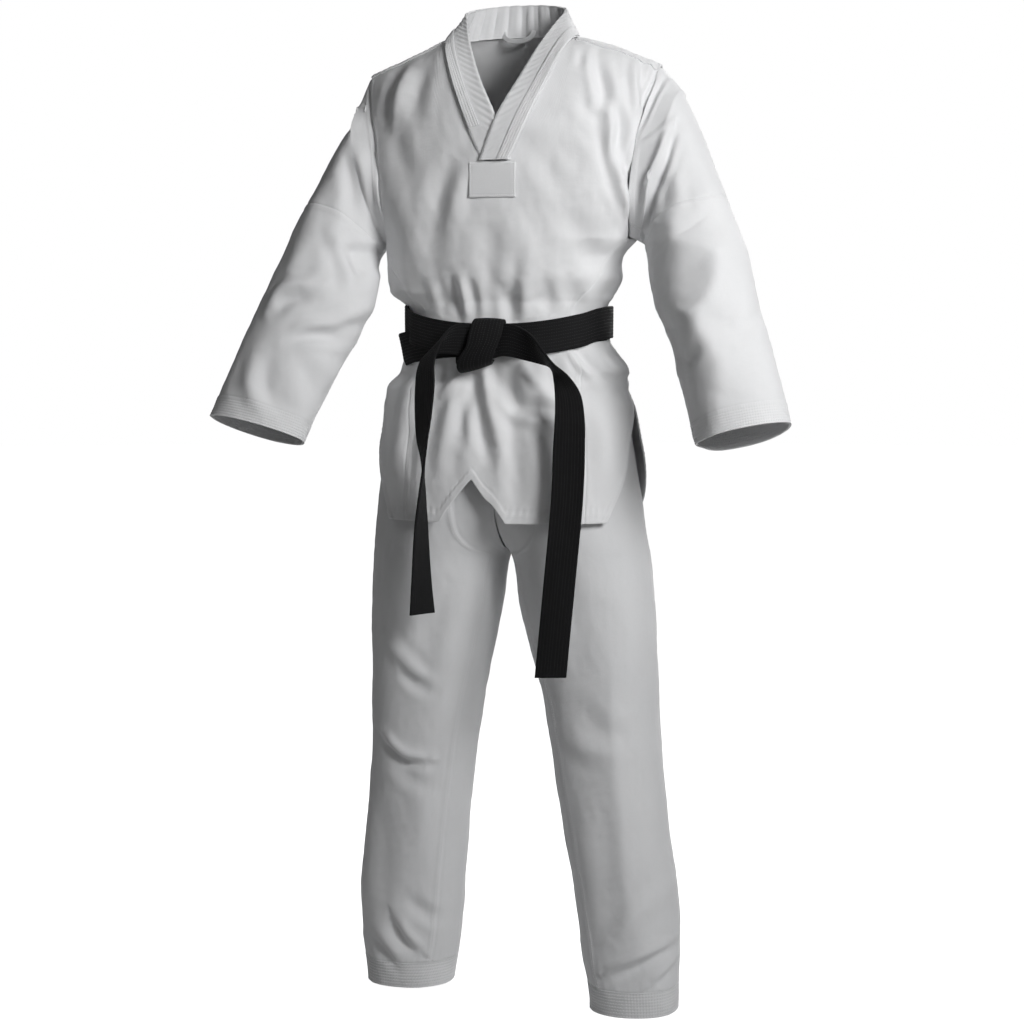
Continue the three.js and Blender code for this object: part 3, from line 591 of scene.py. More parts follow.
def jacket_folds(p, n):
    """The jacket blouses over the belt, flares under it and is pulled in at it."""
    x, y, z = p[..., 0], p[..., 1], p[..., 2]
    front = faces_front(n)
    turn = np.arctan2(x - CENTRE(z), -y)
    angle = np.degrees(turn)
    belt_z = wrap_z(angle, WRAPS["belt_outer_wrap"])
    over, under = z - belt_z - BELT_ABOVE, belt_z - BELT_BELOW - z
    blouse = 3.4 * bump((over - 20) / 22) + 1.6 * bump((over - 60) / 40)
    flare = 3.6 * smooth(under / 18) * np.exp(-np.maximum(under, 0) / 120)
    belt = (np.abs(z - BELT_Z) < 40) * (over < 0) * (under < 0)
    d = pleats(turn) * (blouse * (over > 0) + flare * (under > 0)) * (1 - belt)
    calm = 1 - 0.8 * bump((z - BELT_Z) / 45)
    d = d + front * strokes(x, z, CHEST_FOLDS) + (1 - front) * strokes(x, z, BACK_FOLDS)
    tight = at_side(np.abs(np.sin(turn))) * bump((z - 970) / 30)
    return d + rumple(p) * calm + shoulder_lift(p, n) - 6.5 * tight


def sleeve_folds(side):
    def folds(p, n):
        front = smooth((0.25 - n[..., 1]) / 0.5)
        out = n[..., 0] if side == "left" else -n[..., 0]
        fall = shoulder_lift(p, n)
        z = p[..., 2]
        outer, inner = smooth(out / 0.8), smooth((-out - 0.2) / 0.6)
        if side == "left":
            fall = fall + inner * SLEEVE_INNER_LEFT(z)
        else:
            off_seam = smooth((np.abs(p[..., 0] - 5) - 204) / 30)
            fall = fall + outer * (SLEEVE_OUTER_RIGHT(z) - 13 * off_seam * bump((z - 1265) / 110))
            fall = fall + inner * SLEEVE_INNER_RIGHT(z)
        return front * strokes(p[..., 0], p[..., 2], SLEEVE_FOLDS[side]) + rumple(p, 0.9) + fall
    return folds


HIDDEN_Z, HIDDEN_DEPTH = 705, 3.5   # above this the trousers lie under the jacket, and smoothly inside it


def leg_folds(side, s):
    behind = fold_lines(LEG_BACK_FOLDS, s)

    def folds(p, n):
        front = faces_front(n)
        hidden = smooth((p[..., 2] - HIDDEN_Z) / 60)
        d = front * strokes(p[..., 0], p[..., 2], LEG_FOLDS[side]) + rumple(p, 1.0)
        d = d + (1 - front) * strokes(p[..., 0], p[..., 2], behind)
        return d * (1 - hidden) - HIDDEN_DEPTH * hidden
    return folds


def calm_folds(p, n):
    return 0.25 * middle_wave(p) + 0.1 * fine_wave(p)


# ---------- patches of cloth ----------
def graded(n, low=True, high=True, a=0.0, b=1.0):
    """Stations from a to b, closer together near ends that carry a seam or hem."""
    lead = [0, 0.22, 0.46, 0.74, 1.06, 1.42]
    s = [*(lead if low else [0, 1]), *range(2, n - 1), *([n - x for x in reversed(lead)] if high else [n - 1, n])]
    return a + (b - a) * np.array(s, float) / n


def ring_stations(n):
    return np.arange(n) / n


class Patch:
    """A displaced piece of surface: points, normals out of the garment, and the distance from each of its edges."""

    def __init__(self, surface, us, vs, core, folds=None, ring=False, lift=0.0, edges=None, relief=None):
        """core gives a point on the inner side; folds take points and normals, relief takes the patch."""
        u, v = np.meshgrid(us, vs, indexing="ij")
        e = 1e-3   # step over which the surface's slopes are taken
        p = surface(u, v)
        n = unit(np.cross(surface(u + e, v) - surface(u - e, v), surface(u, v + e) - surface(u, v - e)))
        i, j = len(us) // 2, len(vs) // 2
        self.flip = np.dot(p[i, j] - core(p[i, j]), n[i, j]) < 0
        if self.flip:
            n = -n
        self.ring, self.p, self.n = ring, p, n
        self.measure()
        self.flat_size = (float(self.lu[-1].max()), float(self.lv[:, -1].max()))
        if ring:
            self.flat_size = (float((self.lu[-1] + np.linalg.norm(p[-1] - p[0], axis=-1)).max()), self.flat_size[1])
        self.flat_area = self.area()
        d = np.full(p.shape[:2], float(lift))
        if folds is not None:
            d = d + folds(p, n)
        for name, kind in (edges or {}).items():
            d = d + edge_relief(self.away[name], self.along[name[0]], kind)
        if relief is not None:
            d = d + relief(self)
        self.p = p + n * d[..., None]
        self.measure()
        self.n = self.normals()

    def measure(self):
        du = np.linalg.norm(np.diff(self.p, axis=0), axis=-1)
        dv = np.linalg.norm(np.diff(self.p, axis=1), axis=-1)
        lu = np.vstack([np.zeros((1, du.shape[1])), np.cumsum(du, 0)])
        lv = np.hstack([np.zeros((dv.shape[0], 1)), np.cumsum(dv, 1)])
        self.lu, self.lv = lu, lv
        self.away = {"u0": lu, "u1": lu[-1:] - lu, "v0": lv, "v1": lv[:, -1:] - lv}
        self.along = {"u": lv, "v": lu}

    def area(self):
        p = np.concatenate([self.p, self.p[:1]]) if self.ring else self.p
        a, b = p[1:, 1:] - p[:-1, :-1], p[1:, :-1] - p[:-1, 1:]
        return float(np.linalg.norm(np.cross(a, b), axis=-1).sum() / 2)

    def normals(self):
        if self.ring:
            q = np.concatenate([self.p[-1:], self.p, self.p[:1]])
            a = q[2:] - q[:-2]
        else:
            a = np.gradient(self.p, axis=0)
        n = unit(np.cross(a, np.gradient(self.p, axis=1)))
        return -n if self.flip else n

    def row(self, edge, distance):
        """The line that runs beside an edge at a distance, with its normals."""
        far, p, n = self.away[edge], self.p, self.n
        if edge[0] == "u":
            far, p, n = far.T, p.transpose(1, 0, 2), n.transpose(1, 0, 2)
        if edge[1] == "1":
            far, p, n = far[:, ::-1], p[:, ::-1], n[:, ::-1]
        keep, line, normals = distance < far[:, -1] - 0.5, [], []
        for i in np.nonzero(keep)[0]:
            j = np.clip(np.searchsorted(far[i], distance), 1, far.shape[1] - 1)
            t = (distance - far[i, j - 1]) / max(far[i, j] - far[i, j - 1], 1e-9)
            line.append(lerp(p[i, j - 1], p[i, j], t))
            normals.append(lerp(n[i, j - 1], n[i, j], t))
        line, normals = np.array(line), unit(np.array(normals))
        if self.ring and edge[0] == "v":
            line, normals = np.vstack([line, line[:1]]), np.vstack([normals, normals[:1]])
        return line, normals


def edge_relief(away, along, kind):
    """Relief beside an edge: seam (a sewn dip), fell (a flat-felled seam's raised side) or a number, a hem's width."""
    pucker = 0.2 * wave(along, 8.3, 1.3 * np.sin(along / 31)) * np.exp(-away / 7)
    if kind == "seam":
        return -0.7 * bump(away / 1.7) + pucker
    if kind == "fell":
        return 0.5 * (1 - smooth((away - 7.6) / 1.4)) - 0.8 * bump(away / 1.4) + pucker
    inner = -0.7 * bump((away - kind - 0.8) / 1.3)
    ripple = 0.5 * wave(along, 9.1, 1.6 * np.sin(along / 23)) * bump((away - kind) / 6)
    return 0.9 * (1 - smooth((away - kind) / 1.3)) + inner + 0.6 * pucker + ripple - 0.4 * bump(away / 0.9)


HALF_PITCH = 1.7   # by which every second row of stitches is moved along


class Piece:
    """One object made of patches, straps and stitches. Material 0 is its cloth, 1 its thread."""

    def __init__(self, name):
        self.name, self.count = name, 0
        self.verts, self.quads, self.tris, self.quad_uv = [], [], [], []

    def add(self, verts):
        """Adds vertices and returns the number of the first one."""
        self.verts.append(verts.reshape(-1, 3))
        self.count += len(self.verts[-1])
        return self.count - len(self.verts[-1])

    def shell(self, patch, thick=CLOTH):
        """The patch as a closed wall: outer face, inner face and rims."""
        p, ring = patch.p, patch.ring
        nu, nv = p.shape[:2]
        thin = np.full((nu, nv), float(thick)) if np.isscalar(thick) else thick
        middle_u, middle_v = patch.lu[:, nv // 2], patch.lv[nu // 2]
        uv = vec(middle_u[:, None], middle_v[None]) / 1000
        if ring:
            round_it = middle_u[-1] + np.linalg.norm(p[-1, nv // 2] - p[0, nv // 2])
            uv = np.concatenate([uv, uv[:1] + [[[round_it / 1000, 0]]]])
        i, j = np.meshgrid(np.arange(nu if ring else nu - 1), np.arange(nv - 1), indexing="ij")
        i, j = i.ravel(), j.ravel()
        corner = [(i, j), (i + 1, j), (i + 1, j + 1), (i, j + 1)]
        index = np.stack([(a % nu) * nv + b for a, b in corner], -1)
        loops = np.stack([uv[a, b] for a, b in corner], 1)
        turn = -1 if patch.flip else 1
        quads = [index[:, ::turn], index[:, ::-turn] + nu * nv]
        quad_uv = [loops[:, ::turn], loops[:, ::-turn]]

        def rim(a, uv_a, reverse):
            b, back = a + nu * nv, -turn if reverse else turn
            step = uv_a + [0, 0.002]
            quads.append(np.stack([a[:-1], b[:-1], b[1:], a[1:]], -1)[:, ::back])
            quad_uv.append(np.stack([uv_a[:-1], step[:-1], step[1:], uv_a[1:]], 1)[:, ::back])

        run = np.arange(nu + 1) % nu if ring else np.arange(nu)
        rim(run * nv, uv[:len(run), 0], False)
        rim(run * nv + nv - 1, uv[:len(run), nv - 1], True)
        if not ring:
            rim(np.arange(nv), uv[0], True)
            rim((nu - 1) * nv + np.arange(nv), uv[nu - 1], False)
        first = self.add(np.stack([p, p - patch.n * thin[..., None]]))
        self.quads.append(np.vstack(quads) + first)
        self.quad_uv.append(np.vstack(quad_uv))

    def stitches(self, line, normals, pitch=3.4, length=2.5, width=0.75, height=0.42, start=0.0):
        """A row of stitches along a line, each a small spindle of thread."""
        run = run_along(line)
        s = np.arange(start + pitch / 2, run[-1] - pitch / 2, pitch)
        if len(s) < 2:
            return

        def at(q, values=line):
            return np.stack([np.interp(q, run, values[:, c]) for c in range(3)], -1)

        middle, tangent = at(s), unit(at(s + length / 2) - at(s - length / 2))
        out = at(s, normals)
        out = unit(out - tangent * (out * tangent).sum(-1, keepdims=True))
        side = np.cross(tangent, out)
        a, b, c = tangent * length / 2, side * width / 2, out * height
        first = self.add(np.stack([middle - a, middle + b + c * 0.15, middle + c, middle - b + c * 0.15,
                                   middle - c, middle + a], 1))
        tri = np.array([[0, 2, 1], [0, 3, 2], [0, 4, 3], [0, 1, 4], [5, 1, 2], [5, 2, 3], [5, 3, 4], [5, 4, 1]])
        self.tris.append((tri[None] + 6 * np.arange(len(s))[:, None, None]).reshape(-1, 3) + first)

    def seam_rows(self, patch, edge, distances, stagger=1, **thread_size):
        for k, distance in enumerate(distances):
            line, normals = patch.row(edge, distance)
            if len(line) > 3:
                self.stitches(line, normals, start=HALF_PITCH * (k % 2) * stagger, **thread_size)

    def build(self, cloth, replaces, body=None, blend=None):
        slot, materials = cloth
        me = bpy.data.meshes.new(self.name)
        v = (np.vstack(self.verts) - [0, 0, MOUNT_Z]) / 1000
        quads, tris = np.vstack(self.quads), np.vstack([np.zeros((0, 3), int), *self.tris])
        uv = np.concatenate([np.vstack(self.quad_uv).reshape(-1, 2), np.zeros((tris.size, 2))])
        me.vertices.add(len(v))
        me.vertices.foreach_set("co", v.astype(np.float32).ravel())
        me.loops.add(quads.size + tris.size)
        me.loops.foreach_set("vertex_index", np.concatenate([quads.ravel(), tris.ravel()]).astype(np.int32))
        me.polygons.add(len(quads) + len(tris))
        starts = np.concatenate([4 * np.arange(len(quads)), quads.size + 3 * np.arange(len(tris))])
        me.polygons.foreach_set("loop_start", starts.astype(np.int32))
        me.polygons.foreach_set("material_index", np.repeat([0, 1], [len(quads), len(tris)]).astype(np.int32))
        me.polygons.foreach_set("use_smooth", np.ones(len(starts), bool))
        me.uv_layers.new(name="cloth").data.foreach_set("uv", uv.astype(np.float32).ravel())
        me.update(calc_edges=True)
        me.validate()
        me.set_sharp_from_angle(angle=math.radians(62))
        for material in materials:
            me.materials.append(material)
        obj = add_object(self.name, me)
        if blend:
            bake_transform(obj)
        else:
            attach(obj, body)
        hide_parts(*replaces)
        return obj


# ---------- materials ----------
class Nodes:
    """A material's node tree, with short calls for the nodes used here."""

    def __init__(self, name):
        self.material = bpy.data.materials.new(name)
        self.material.use_nodes = True
        self.tree = self.material.node_tree
        self.shader = self.tree.nodes["Principled BSDF"]

    def feed(self, socket, value):
        if isinstance(value, bpy.types.NodeSocket):
            self.tree.links.new(value, socket)
        else:
            socket.default_value = value

    def shade(self, **values):
        """Feeds the shader's inputs; an underscore stands for a space."""
        for name, value in values.items():
            self.feed(self.shader.inputs[name.replace("_", " ")], value)

    def node(self, kind, **inputs):
        """A new node. Names with a capital letter are its inputs, the others its settings."""
        n = self.tree.nodes.new(kind)
        for key, value in inputs.items():
            if key[0].isupper():
                self.feed(n.inputs[key], value)
            else:
                setattr(n, key, value)
        return n

    def math(self, operation, a, b=0.0):
        n = self.node("ShaderNodeMath", operation=operation)
        self.feed(n.inputs[0], a)
        self.feed(n.inputs[1], b)
        return n.outputs[0]

    def noise(self, vector, scale, detail=3.0, roughness=0.55):
        n = self.node("ShaderNodeTexNoise", Vector=vector, Scale=scale, Detail=detail, Roughness=roughness)
        return n.outputs["Fac"]

    def scaled(self, vector, x, y, z=1.0):
        return self.node("ShaderNodeMapping", Vector=vector, Scale=(x, y, z)).outputs[0]

    def place(self):
        return self.node("ShaderNodeTexCoord").outputs["Object"]

    def ramp(self, value, *stops):
        n = self.node("ShaderNodeValToRGB", Fac=value)
        for element, (at, colour) in zip(n.color_ramp.elements, stops):
            element.position = at
            element.color = (*colour, 1)
        return n.outputs[0]


def woven(name, dark, light, pitch, relief, roughness=0.9, sheen=0.25, twill=False):
    """Cloth woven from threads of the given pitch in metres; relief is the height of a thread."""
    m = Nodes(name)
    uv, where = m.node("ShaderNodeUVMap", uv_map="cloth").outputs[0], m.place()
    across, along = m.node("ShaderNodeSeparateXYZ", Vector=uv).outputs[:2]
    turns = 2 * math.pi / pitch
    bend = m.math("MULTIPLY", m.noise(m.scaled(uv, 160, 160), 1.0, 2.0), 1.6)
    warp = m.math("SINE", m.math("ADD", m.math("MULTIPLY", across, turns), bend))
    weft_at = m.math("MULTIPLY", along, turns)
    if twill:
        weft_at = m.math("ADD", weft_at, m.math("MULTIPLY", across, turns / 2))
    weave = m.math("MULTIPLY", warp, m.math("SINE", m.math("ADD", weft_at, bend)))
    slub = m.math("ADD", m.noise(m.scaled(uv, 90, 1500), 1.0, 2.0), m.noise(m.scaled(uv, 1500, 90), 1.0, 2.0))
    height = m.math("ADD", m.math("MULTIPLY", weave, 0.5), m.math("MULTIPLY", slub, 0.9))
    soft = m.node("ShaderNodeBump", Height=m.noise(where, 46.0, 4.0, 0.6), Strength=0.35, Distance=0.0016)
    fine = m.node("ShaderNodeBump", Height=height, Strength=0.5, Distance=relief, Normal=soft.outputs[0])
    tone = m.math("ADD", m.math("MULTIPLY", m.noise(where, 9.0), 0.55),
                  m.math("ADD", m.math("MULTIPLY", weave, 0.07), m.math("MULTIPLY", slub, 0.22)))
    m.shade(Base_Color=m.ramp(tone, (0.25, dark), (0.75, light)), Normal=fine.outputs[0], Roughness=roughness,
            Sheen_Weight=sheen, Sheen_Roughness=0.45, Specular_IOR_Level=0.25)
    return m.material


def thread(name, dark, light, roughness=0.6):
    """Sewing thread with the twist of its strands."""
    m = Nodes(name)
    strands = m.noise(m.scaled(m.place(), 1400, 1400, 1400), 1.0, 2.0)
    twist = m.node("ShaderNodeBump", Height=strands, Strength=0.5, Distance=0.0003)
    m.shade(Base_Color=m.ramp(strands, (0.3, dark), (0.7, light)), Normal=twist.outputs[0], Roughness=roughness,
            Sheen_Weight=0.2)
    return m.material


WHITE_THREAD = thread("white_thread", (0.80, 0.80, 0.81), (0.90, 0.90, 0.90))
BLACK_THREAD = thread("black_thread", (0.005, 0.005, 0.006), (0.018, 0.018, 0.02), 0.5)
# A cloth is a slot name, which nothing here uses, and its materials: the weave and its thread.
WHITE = ("jacket_cloth",
         [woven("white_canvas", (0.775, 0.78, 0.79), (0.85, 0.853, 0.86), 0.0011, 0.00022), WHITE_THREAD])
TROUSER = ("trouser_cloth",
           [woven("trouser_canvas", (0.69, 0.696, 0.708), (0.77, 0.773, 0.78), 0.0011, 0.00022), WHITE_THREAD])
TRIM = ("trim_cloth",
        [woven("collar_facing", (0.74, 0.745, 0.755), (0.83, 0.833, 0.84), 0.0014, 0.0003), WHITE_THREAD])
BLACKS = ("belt_cloth",
          [woven("black_belt_cloth", (0.0025, 0.0025, 0.003), (0.007, 0.007, 0.008), 0.0016, 0.00035, 0.75, 0.03),
           BLACK_THREAD])
ELASTIC = ("elastic",
           [woven("white_elastic", (0.70, 0.70, 0.71), (0.80, 0.80, 0.81), 0.0022, 0.0006, 0.8, 0.1, True),
            WHITE_THREAD])


# ---------- sewing ----------
BELT_STITCH = dict(pitch=3.3, length=2.3, width=0.5, height=0.22)   # the belt's own, finer than the jacket's
BELT_TOP = ["belt_outer_wrap_strap"]
U_EDGES, V_EDGES = ("u0", "u1"), ("v0", "v1")
EDGES = U_EDGES + V_EDGES


def sew(name, patch, rests_on, seams=(), body="garment", cloth=WHITE, blend=None, thick=CLOTH, held="hung",
        **thread_size):
    """Makes a patch into the cloth of the CAD node its name begins with. Seams are pairs of an edge and the
    distances of its rows of stitches."""
    piece = Piece(name)
    piece.shell(patch, thick)
    for edge, distances in seams:
        piece.seam_rows(patch, edge, distances, **thread_size)
    made = piece.build(cloth, [name.rsplit("_", 1)[0]], body, blend)
    return made


def axis(p):
    return np.array([0, 0, p[2]])


# ---------- jacket body ----------
def jacket(start, stop, low, high, us, vs, edges):
    """A piece of the jacket's girth between two angles and two heights."""
    return Patch(shaped(side_piece(start, stop, low, high)), us, vs, axis, jacket_folds, edges=edges)


def level(z):
    return lambda u: z + 0 * u


SIDE_ROWS = [("u0", (1.6, 6.6)), ("u1", (1.6, 6.6))]
HEM_ROWS = ("v0", (12.0, 15.0))
for name, face in (("front_panel", FRONT), ("back_panel", BACK)):
    patch = Patch(shaped(body_panel(face)), graded(150), graded(140, low=False), axis, jacket_folds,
                  edges=dict.fromkeys(U_EDGES, "fell"))
    sew(name + "_cloth", patch, BELT_TOP, SIDE_ROWS)

for side, s in SIDES:
    def seam_line(z, s=s):
        return s * SIDE_SEAM(z)
    patch = jacket(seam_line, lambda z: s * (180 - SIDE_SEAM(z)), level(SPLIT_Z), ARMPIT_Z - 1.5,
                   graded(40), graded(34, low=False), dict.fromkeys((*U_EDGES, "v1"), "seam"))
    sew(f"side_panel_{side}_cloth", patch, BELT_TOP)
    patch = jacket(seam_line, lambda z: s * VENT(z), level(HEM_Z), SPLIT_Z,
                   graded(24), graded(70, high=False), {"u0": "seam", "u1": 9.0, "v0": 17.0})
    sew(f"skirt_side_{side}_cloth", patch, BELT_TOP, [("u1", (7.0,)), HEM_ROWS])


def notched_hem(u):
    x = lerp(-HEM_HALF, HEM_HALF, u)
    foot = np.where(x < NOTCH_APEX, NOTCH_LEFT, NOTCH_RIGHT)
    return HEM_Z + NOTCH_HEIGHT * np.maximum(0, (x - foot) / (NOTCH_APEX - foot))


patch = jacket(lambda z: -SIDE_SEAM(z), SIDE_SEAM, notched_hem, SPLIT_Z,
               graded(127), graded(84, high=False), {"u0": "fell", "u1": "fell", "v0": 15.0})
sew("skirt_front_cloth", patch, BELT_TOP, [*SIDE_ROWS, ("v0", (10.0, 13.0))])
patch = jacket(BACK_VENT, lambda z: 360 - BACK_VENT(z), level(HEM_Z), SPLIT_Z,
               graded(110), graded(70, high=False), {"u0": 9.0, "u1": 9.0, "v0": 17.0})
sew("skirt_back_cloth", patch, BELT_TOP, [("u0", (7.0,)), ("u1", (7.0,)), HEM_ROWS],
    blend=("garment", "back_skirt", (0, 0, -0.480), (0, 0, -0.595)))

# Second layer over each shoulder.
YOKE_IN, YOKE_OUT, YOKE_FRONT, YOKE_BACK, YOKE_Z = 95, 203, -0.4, 0.8, 1300.0
for side, s in SIDES:
    def yoke(u, v):
        x, m = s * lerp(YOKE_IN, YOKE_OUT, u), lerp(YOKE_FRONT, YOKE_BACK, v)
        z = CHEST_Z + (ridge(x) - CHEST_Z) * rounded(np.abs(m))
        y = m * np.where(m < 0, thickness_at(x, YOKE_Z, FRONT), thickness_at(x, YOKE_Z, BACK))
        return vec(x + CENTRE(YOKE_Z), y, z)
    patch = Patch(yoke, graded(40), graded(56), lambda p: np.array([p[0], 0, 1100]),
                  lambda p, n: jacket_folds(p, n) * 0.9, lift=1.7, edges=dict.fromkeys(V_EDGES, 7.0))
    sew(f"shoulder_yoke_{side}_cloth", patch, ["front_panel_cloth", "back_panel_cloth"],
        [("v0", (1.8, 5.4)), ("v1", (1.8, 5.4))], thick=2.4, held="laid")


# ---------- sleeves ----------
def stitched_band(edge, rows, pitch, ripple):
    """Relief of a cuff or hem that is sewn down in rows."""
    def relief(p):
        return 0.5 - 0.55 * bumps(p.away[edge], rows, 0.9) + ripple * wave(p.along["v"], pitch)
    return relief


SHOULDER_TURN = 0.7071   # the line, falling outwards at 45 degrees, kept in each sleeve's bend entry, which nothing here reads
FELL_ROWS = (1.7, 6.6)
CUFF_ROWS, LEG_HEM_ROWS = np.arange(2.2, 27, 3.6), np.arange(2.6, 34, 4.4)
for side, s in SIDES:
    tube, body, folds = sleeve(s), f"sleeve_{side}", sleeve_folds(side)

    def upper(turn, k):
        return tube(turn, k * (1 - 0.4 * np.abs(np.sin(np.pi * turn)) ** 3))

    def lower(turn, k):
        return tube(turn, k - 1.2 * np.abs(np.sin(np.pi * turn)) ** 3 * (8 - k) / 5)

    def core(k):
        middle = sleeve_middle(s, k)
        return lambda p: middle
    a = np.array([s * 0.184, 0, -0.272])
    bend = ("garment", body, tuple(a), tuple(a + 0.156 * np.array([s * SHOULDER_TURN, 0, -SHOULDER_TURN])))
    open_turn = 0.5 + GUSSET_TURN
    patch = Patch(upper, graded(110, a=open_turn, b=1.5 - GUSSET_TURN), graded(74, a=0, b=3), core(1.5), folds,
                  edges={"u0": "fell", "u1": "fell", "v0": "fell", "v1": "seam"})
    sew(f"sleeve_upper_{side}_cloth", patch, ["front_panel_cloth"],
        [(edge, FELL_ROWS) for edge in (*U_EDGES, "v0")], blend=bend)
    patch = Patch(upper, graded(30, a=0.5 - GUSSET_TURN, b=open_turn), graded(60, a=0, b=3), core(1.5), folds,
                  edges=dict.fromkeys(EDGES, "seam"))
    sew(f"underarm_gusset_{side}_cloth", patch, ["front_panel_cloth"], blend=bend)
    patch = Patch(lower, ring_stations(120), graded(88, a=3, b=8), core(5), folds, ring=True,
                  edges={"v0": "fell", "v1": "seam"})
    sew(f"sleeve_lower_{side}_cloth", patch, [f"sleeve_upper_{side}_cloth"], [("v0", FELL_ROWS)], blend=bend)
    patch = Patch(tube, ring_stations(400), np.linspace(8, 9, 34), core(8.5), folds, ring=True,
                  relief=stitched_band("v1", CUFF_ROWS, 3.4, 0.16))
    sew(f"sleeve_cuff_{side}_cloth", patch, [f"sleeve_lower_{side}_cloth"], [("v1", CUFF_ROWS)], body,
        thick=3.4, held="folded", stagger=0)


# ---------- collar ----------
def collar_core(p):
    return np.array([0, 30, p[2] - 20])


def toward_shoulder(first, n):
    """Stations from first to 1, much closer together near 1, where the neck seam turns over the shoulder."""
    return 1 - (1 - first) * np.linspace(1, 0.004, n) ** 2


def lapel_relief(p):
    away, along = p.away["v0"], p.along["v"]
    inner = smooth((away / (p.lv[:, -1:] + 1e-6) - 0.42) / 0.2)
    pucker = 0.5 * inner * wave(along + 0.9 * away, 13, np.sin(along / 27))
    edge = -0.9 * bump(p.away["v1"] / 1.6) + 0.4 * bump((p.away["v1"] - 4) / 3)
    return pucker + edge - 0.9 * bump(away / 1.6)


TRIM_ROWS = (2.0, 5.6, 9.2, 12.8)


def trim_relief(p):
    rows = bumps(p.away["v0"], TRIM_ROWS, 0.95)
    edge = -0.5 * bump(p.away["v0"] / 0.7) - 0.5 * bump(p.away["v1"] / 0.7)
    return edge - 0.5 * rows + 0.14 * wave(p.along["v"], 3.2)


for side, s in SIDES:
    lapel = lapel_surface(s, LAPEL_LIFT[side])
    patch = Patch(lapel, toward_shoulder(0.004, 150), graded(24), collar_core, calm_folds, relief=lapel_relief)
    sew(f"lapel_{side}_cloth", patch, ["front_panel_cloth"], [("v1", (3.2,))], cloth=TRIM, thick=2.6, held="folded")
    first = 0.004 if side == "left" else 0.24   # the right trim starts where the left lapel stops covering it
    patch = Patch(lapel, toward_shoulder(first, 240), np.linspace(0.04, 0.40, 20), collar_core, calm_folds,
                  lift=1.9, relief=trim_relief)
    sew(f"collar_trim_{side}_cloth", patch, [f"lapel_{side}_cloth"], [("v0", TRIM_ROWS)], cloth=TRIM, thick=1.7,
        held="laid", pitch=3.2, length=2.3, stagger=0)


def band_relief(p):
    share = p.lu / (p.lu[-1:] + 1e-6)
    gathers = (1.5 * np.sin(2 * np.pi * 10.5 * share + 0.9 * np.sin(9 * share))
               + 0.5 * np.sin(2 * np.pi * 23 * share + 1))
    middle = smooth(share / 0.1) * smooth((1 - share) / 0.1)
    fade = bump((p.lv / (p.lv[:, -1:] + 1e-6) - 0.45) / 0.55)
    return gathers * middle * fade - 0.7 * bump(p.away["v1"] / 1.5) - 0.8 * bump(p.away["v0"] / 1.7)


round_neck = 0.5 - 0.5 * np.cos(np.pi * np.linspace(0.004, 0.996, 190))
patch = Patch(neck_band, round_neck, graded(22, a=-0.06), lambda p: np.array([0, 10, p[2] - 30]),
              calm_folds, relief=band_relief)
sew("collar_back_cloth", patch, ["back_panel_cloth"], [("v1", (3.4, 6.4))], cloth=TRIM, thick=3.0, held="folded")


# ---------- straps: the belt, its knot and the hanger loop ----------
BELT_RIBS, GROOVE_WIDTH, GROOVE_DEPTH, EDGE_ROUND = 9, 0.85, 0.26, 1.9


def weave_ripple(along):
    return 0.07 * wave(along, BELT_STITCH["pitch"])


def between(numbers):
    """Strap rows from a text table: x, y, z of a point on the low edge, then of one on the high edge."""
    low, high = np.split(np.array(numbers.split(), float).reshape(-1, 6), 2, axis=1)
    return np.hstack([(low + high) / 2, (high - low) / 2])


class Strap:
    """A flat strap through rows of x, y, z and its width direction; cup bows it across, in millimetres.
    Without a width, each direction reaches from the strap's middle to its edge."""
    flip = ring = False

    def __init__(self, rows, width=None, thick=BELT_THICK, step=2.6, across=46, ribs=BELT_RIBS, cup=0.0):
        path = Curve(rows).even(step)
        c, w = path[:, :3], path[:, 3:6]
        tangent = unit(np.gradient(c, axis=0))
        if width is None:
            half = np.linalg.norm(w, axis=-1)
            w = unit(w)
        else:
            w = unit(w - tangent * (w * tangent).sum(-1, keepdims=True))
            half = np.full(len(path), width / 2)
        out = unit(np.cross(tangent, w))
        q = np.linspace(-1, 1, across)
        q = np.sign(q) * np.abs(q) ** 0.85
        share = np.linspace(0, 1, len(path))
        bow = cup(share) if callable(cup) else np.full(len(path), float(cup))
        middle = c[:, None] + w[:, None] * (q[None, :, None] * half[:, None, None])
        middle = middle + out[:, None] * (bow[:, None, None] * (1 - q[None, :, None] ** 2))
        near_edge = np.clip((1 - np.abs(q))[None] * half[:, None] / EDGE_ROUND, 0, 1)
        body = thick * (0.35 + 0.65 * np.sqrt(1 - (1 - near_edge) ** 2))
        lanes = np.linspace(-1, 1, ribs + 2)[1:-1]
        groove = sum(bump((q - lane)[None] * half[:, None] / GROOVE_WIDTH) for lane in lanes)
        run = run_along(c)[:, None]
        self.body = body - GROOVE_DEPTH * groove + weave_ripple(run)
        self.n = unit(np.cross(np.gradient(middle, axis=0), np.gradient(middle, axis=1)))
        self.p = middle + self.n * self.body[..., None] / 2
        self.lu = np.repeat(run, across, 1)
        self.lv = (q[None] + 1) * half[:, None]
        self.columns = [int(np.argmin(np.abs(q - lane))) for lane in lanes]


def lay_strap(piece, rows, width=None, **how):
    made = Strap(rows, width, **how)
    piece.shell(made, made.body)
    back = made.p - made.n * made.body[..., None]
    for j in made.columns:
        normals = made.n[:, j]
        piece.stitches(made.p[:, j] + normals * 0.1, normals, **BELT_STITCH)
        piece.stitches(back[:, j] - normals * 0.1, -normals, **BELT_STITCH)


LANES = np.linspace(0, BELT_WIDTH, BELT_RIBS + 2)[1:-1]


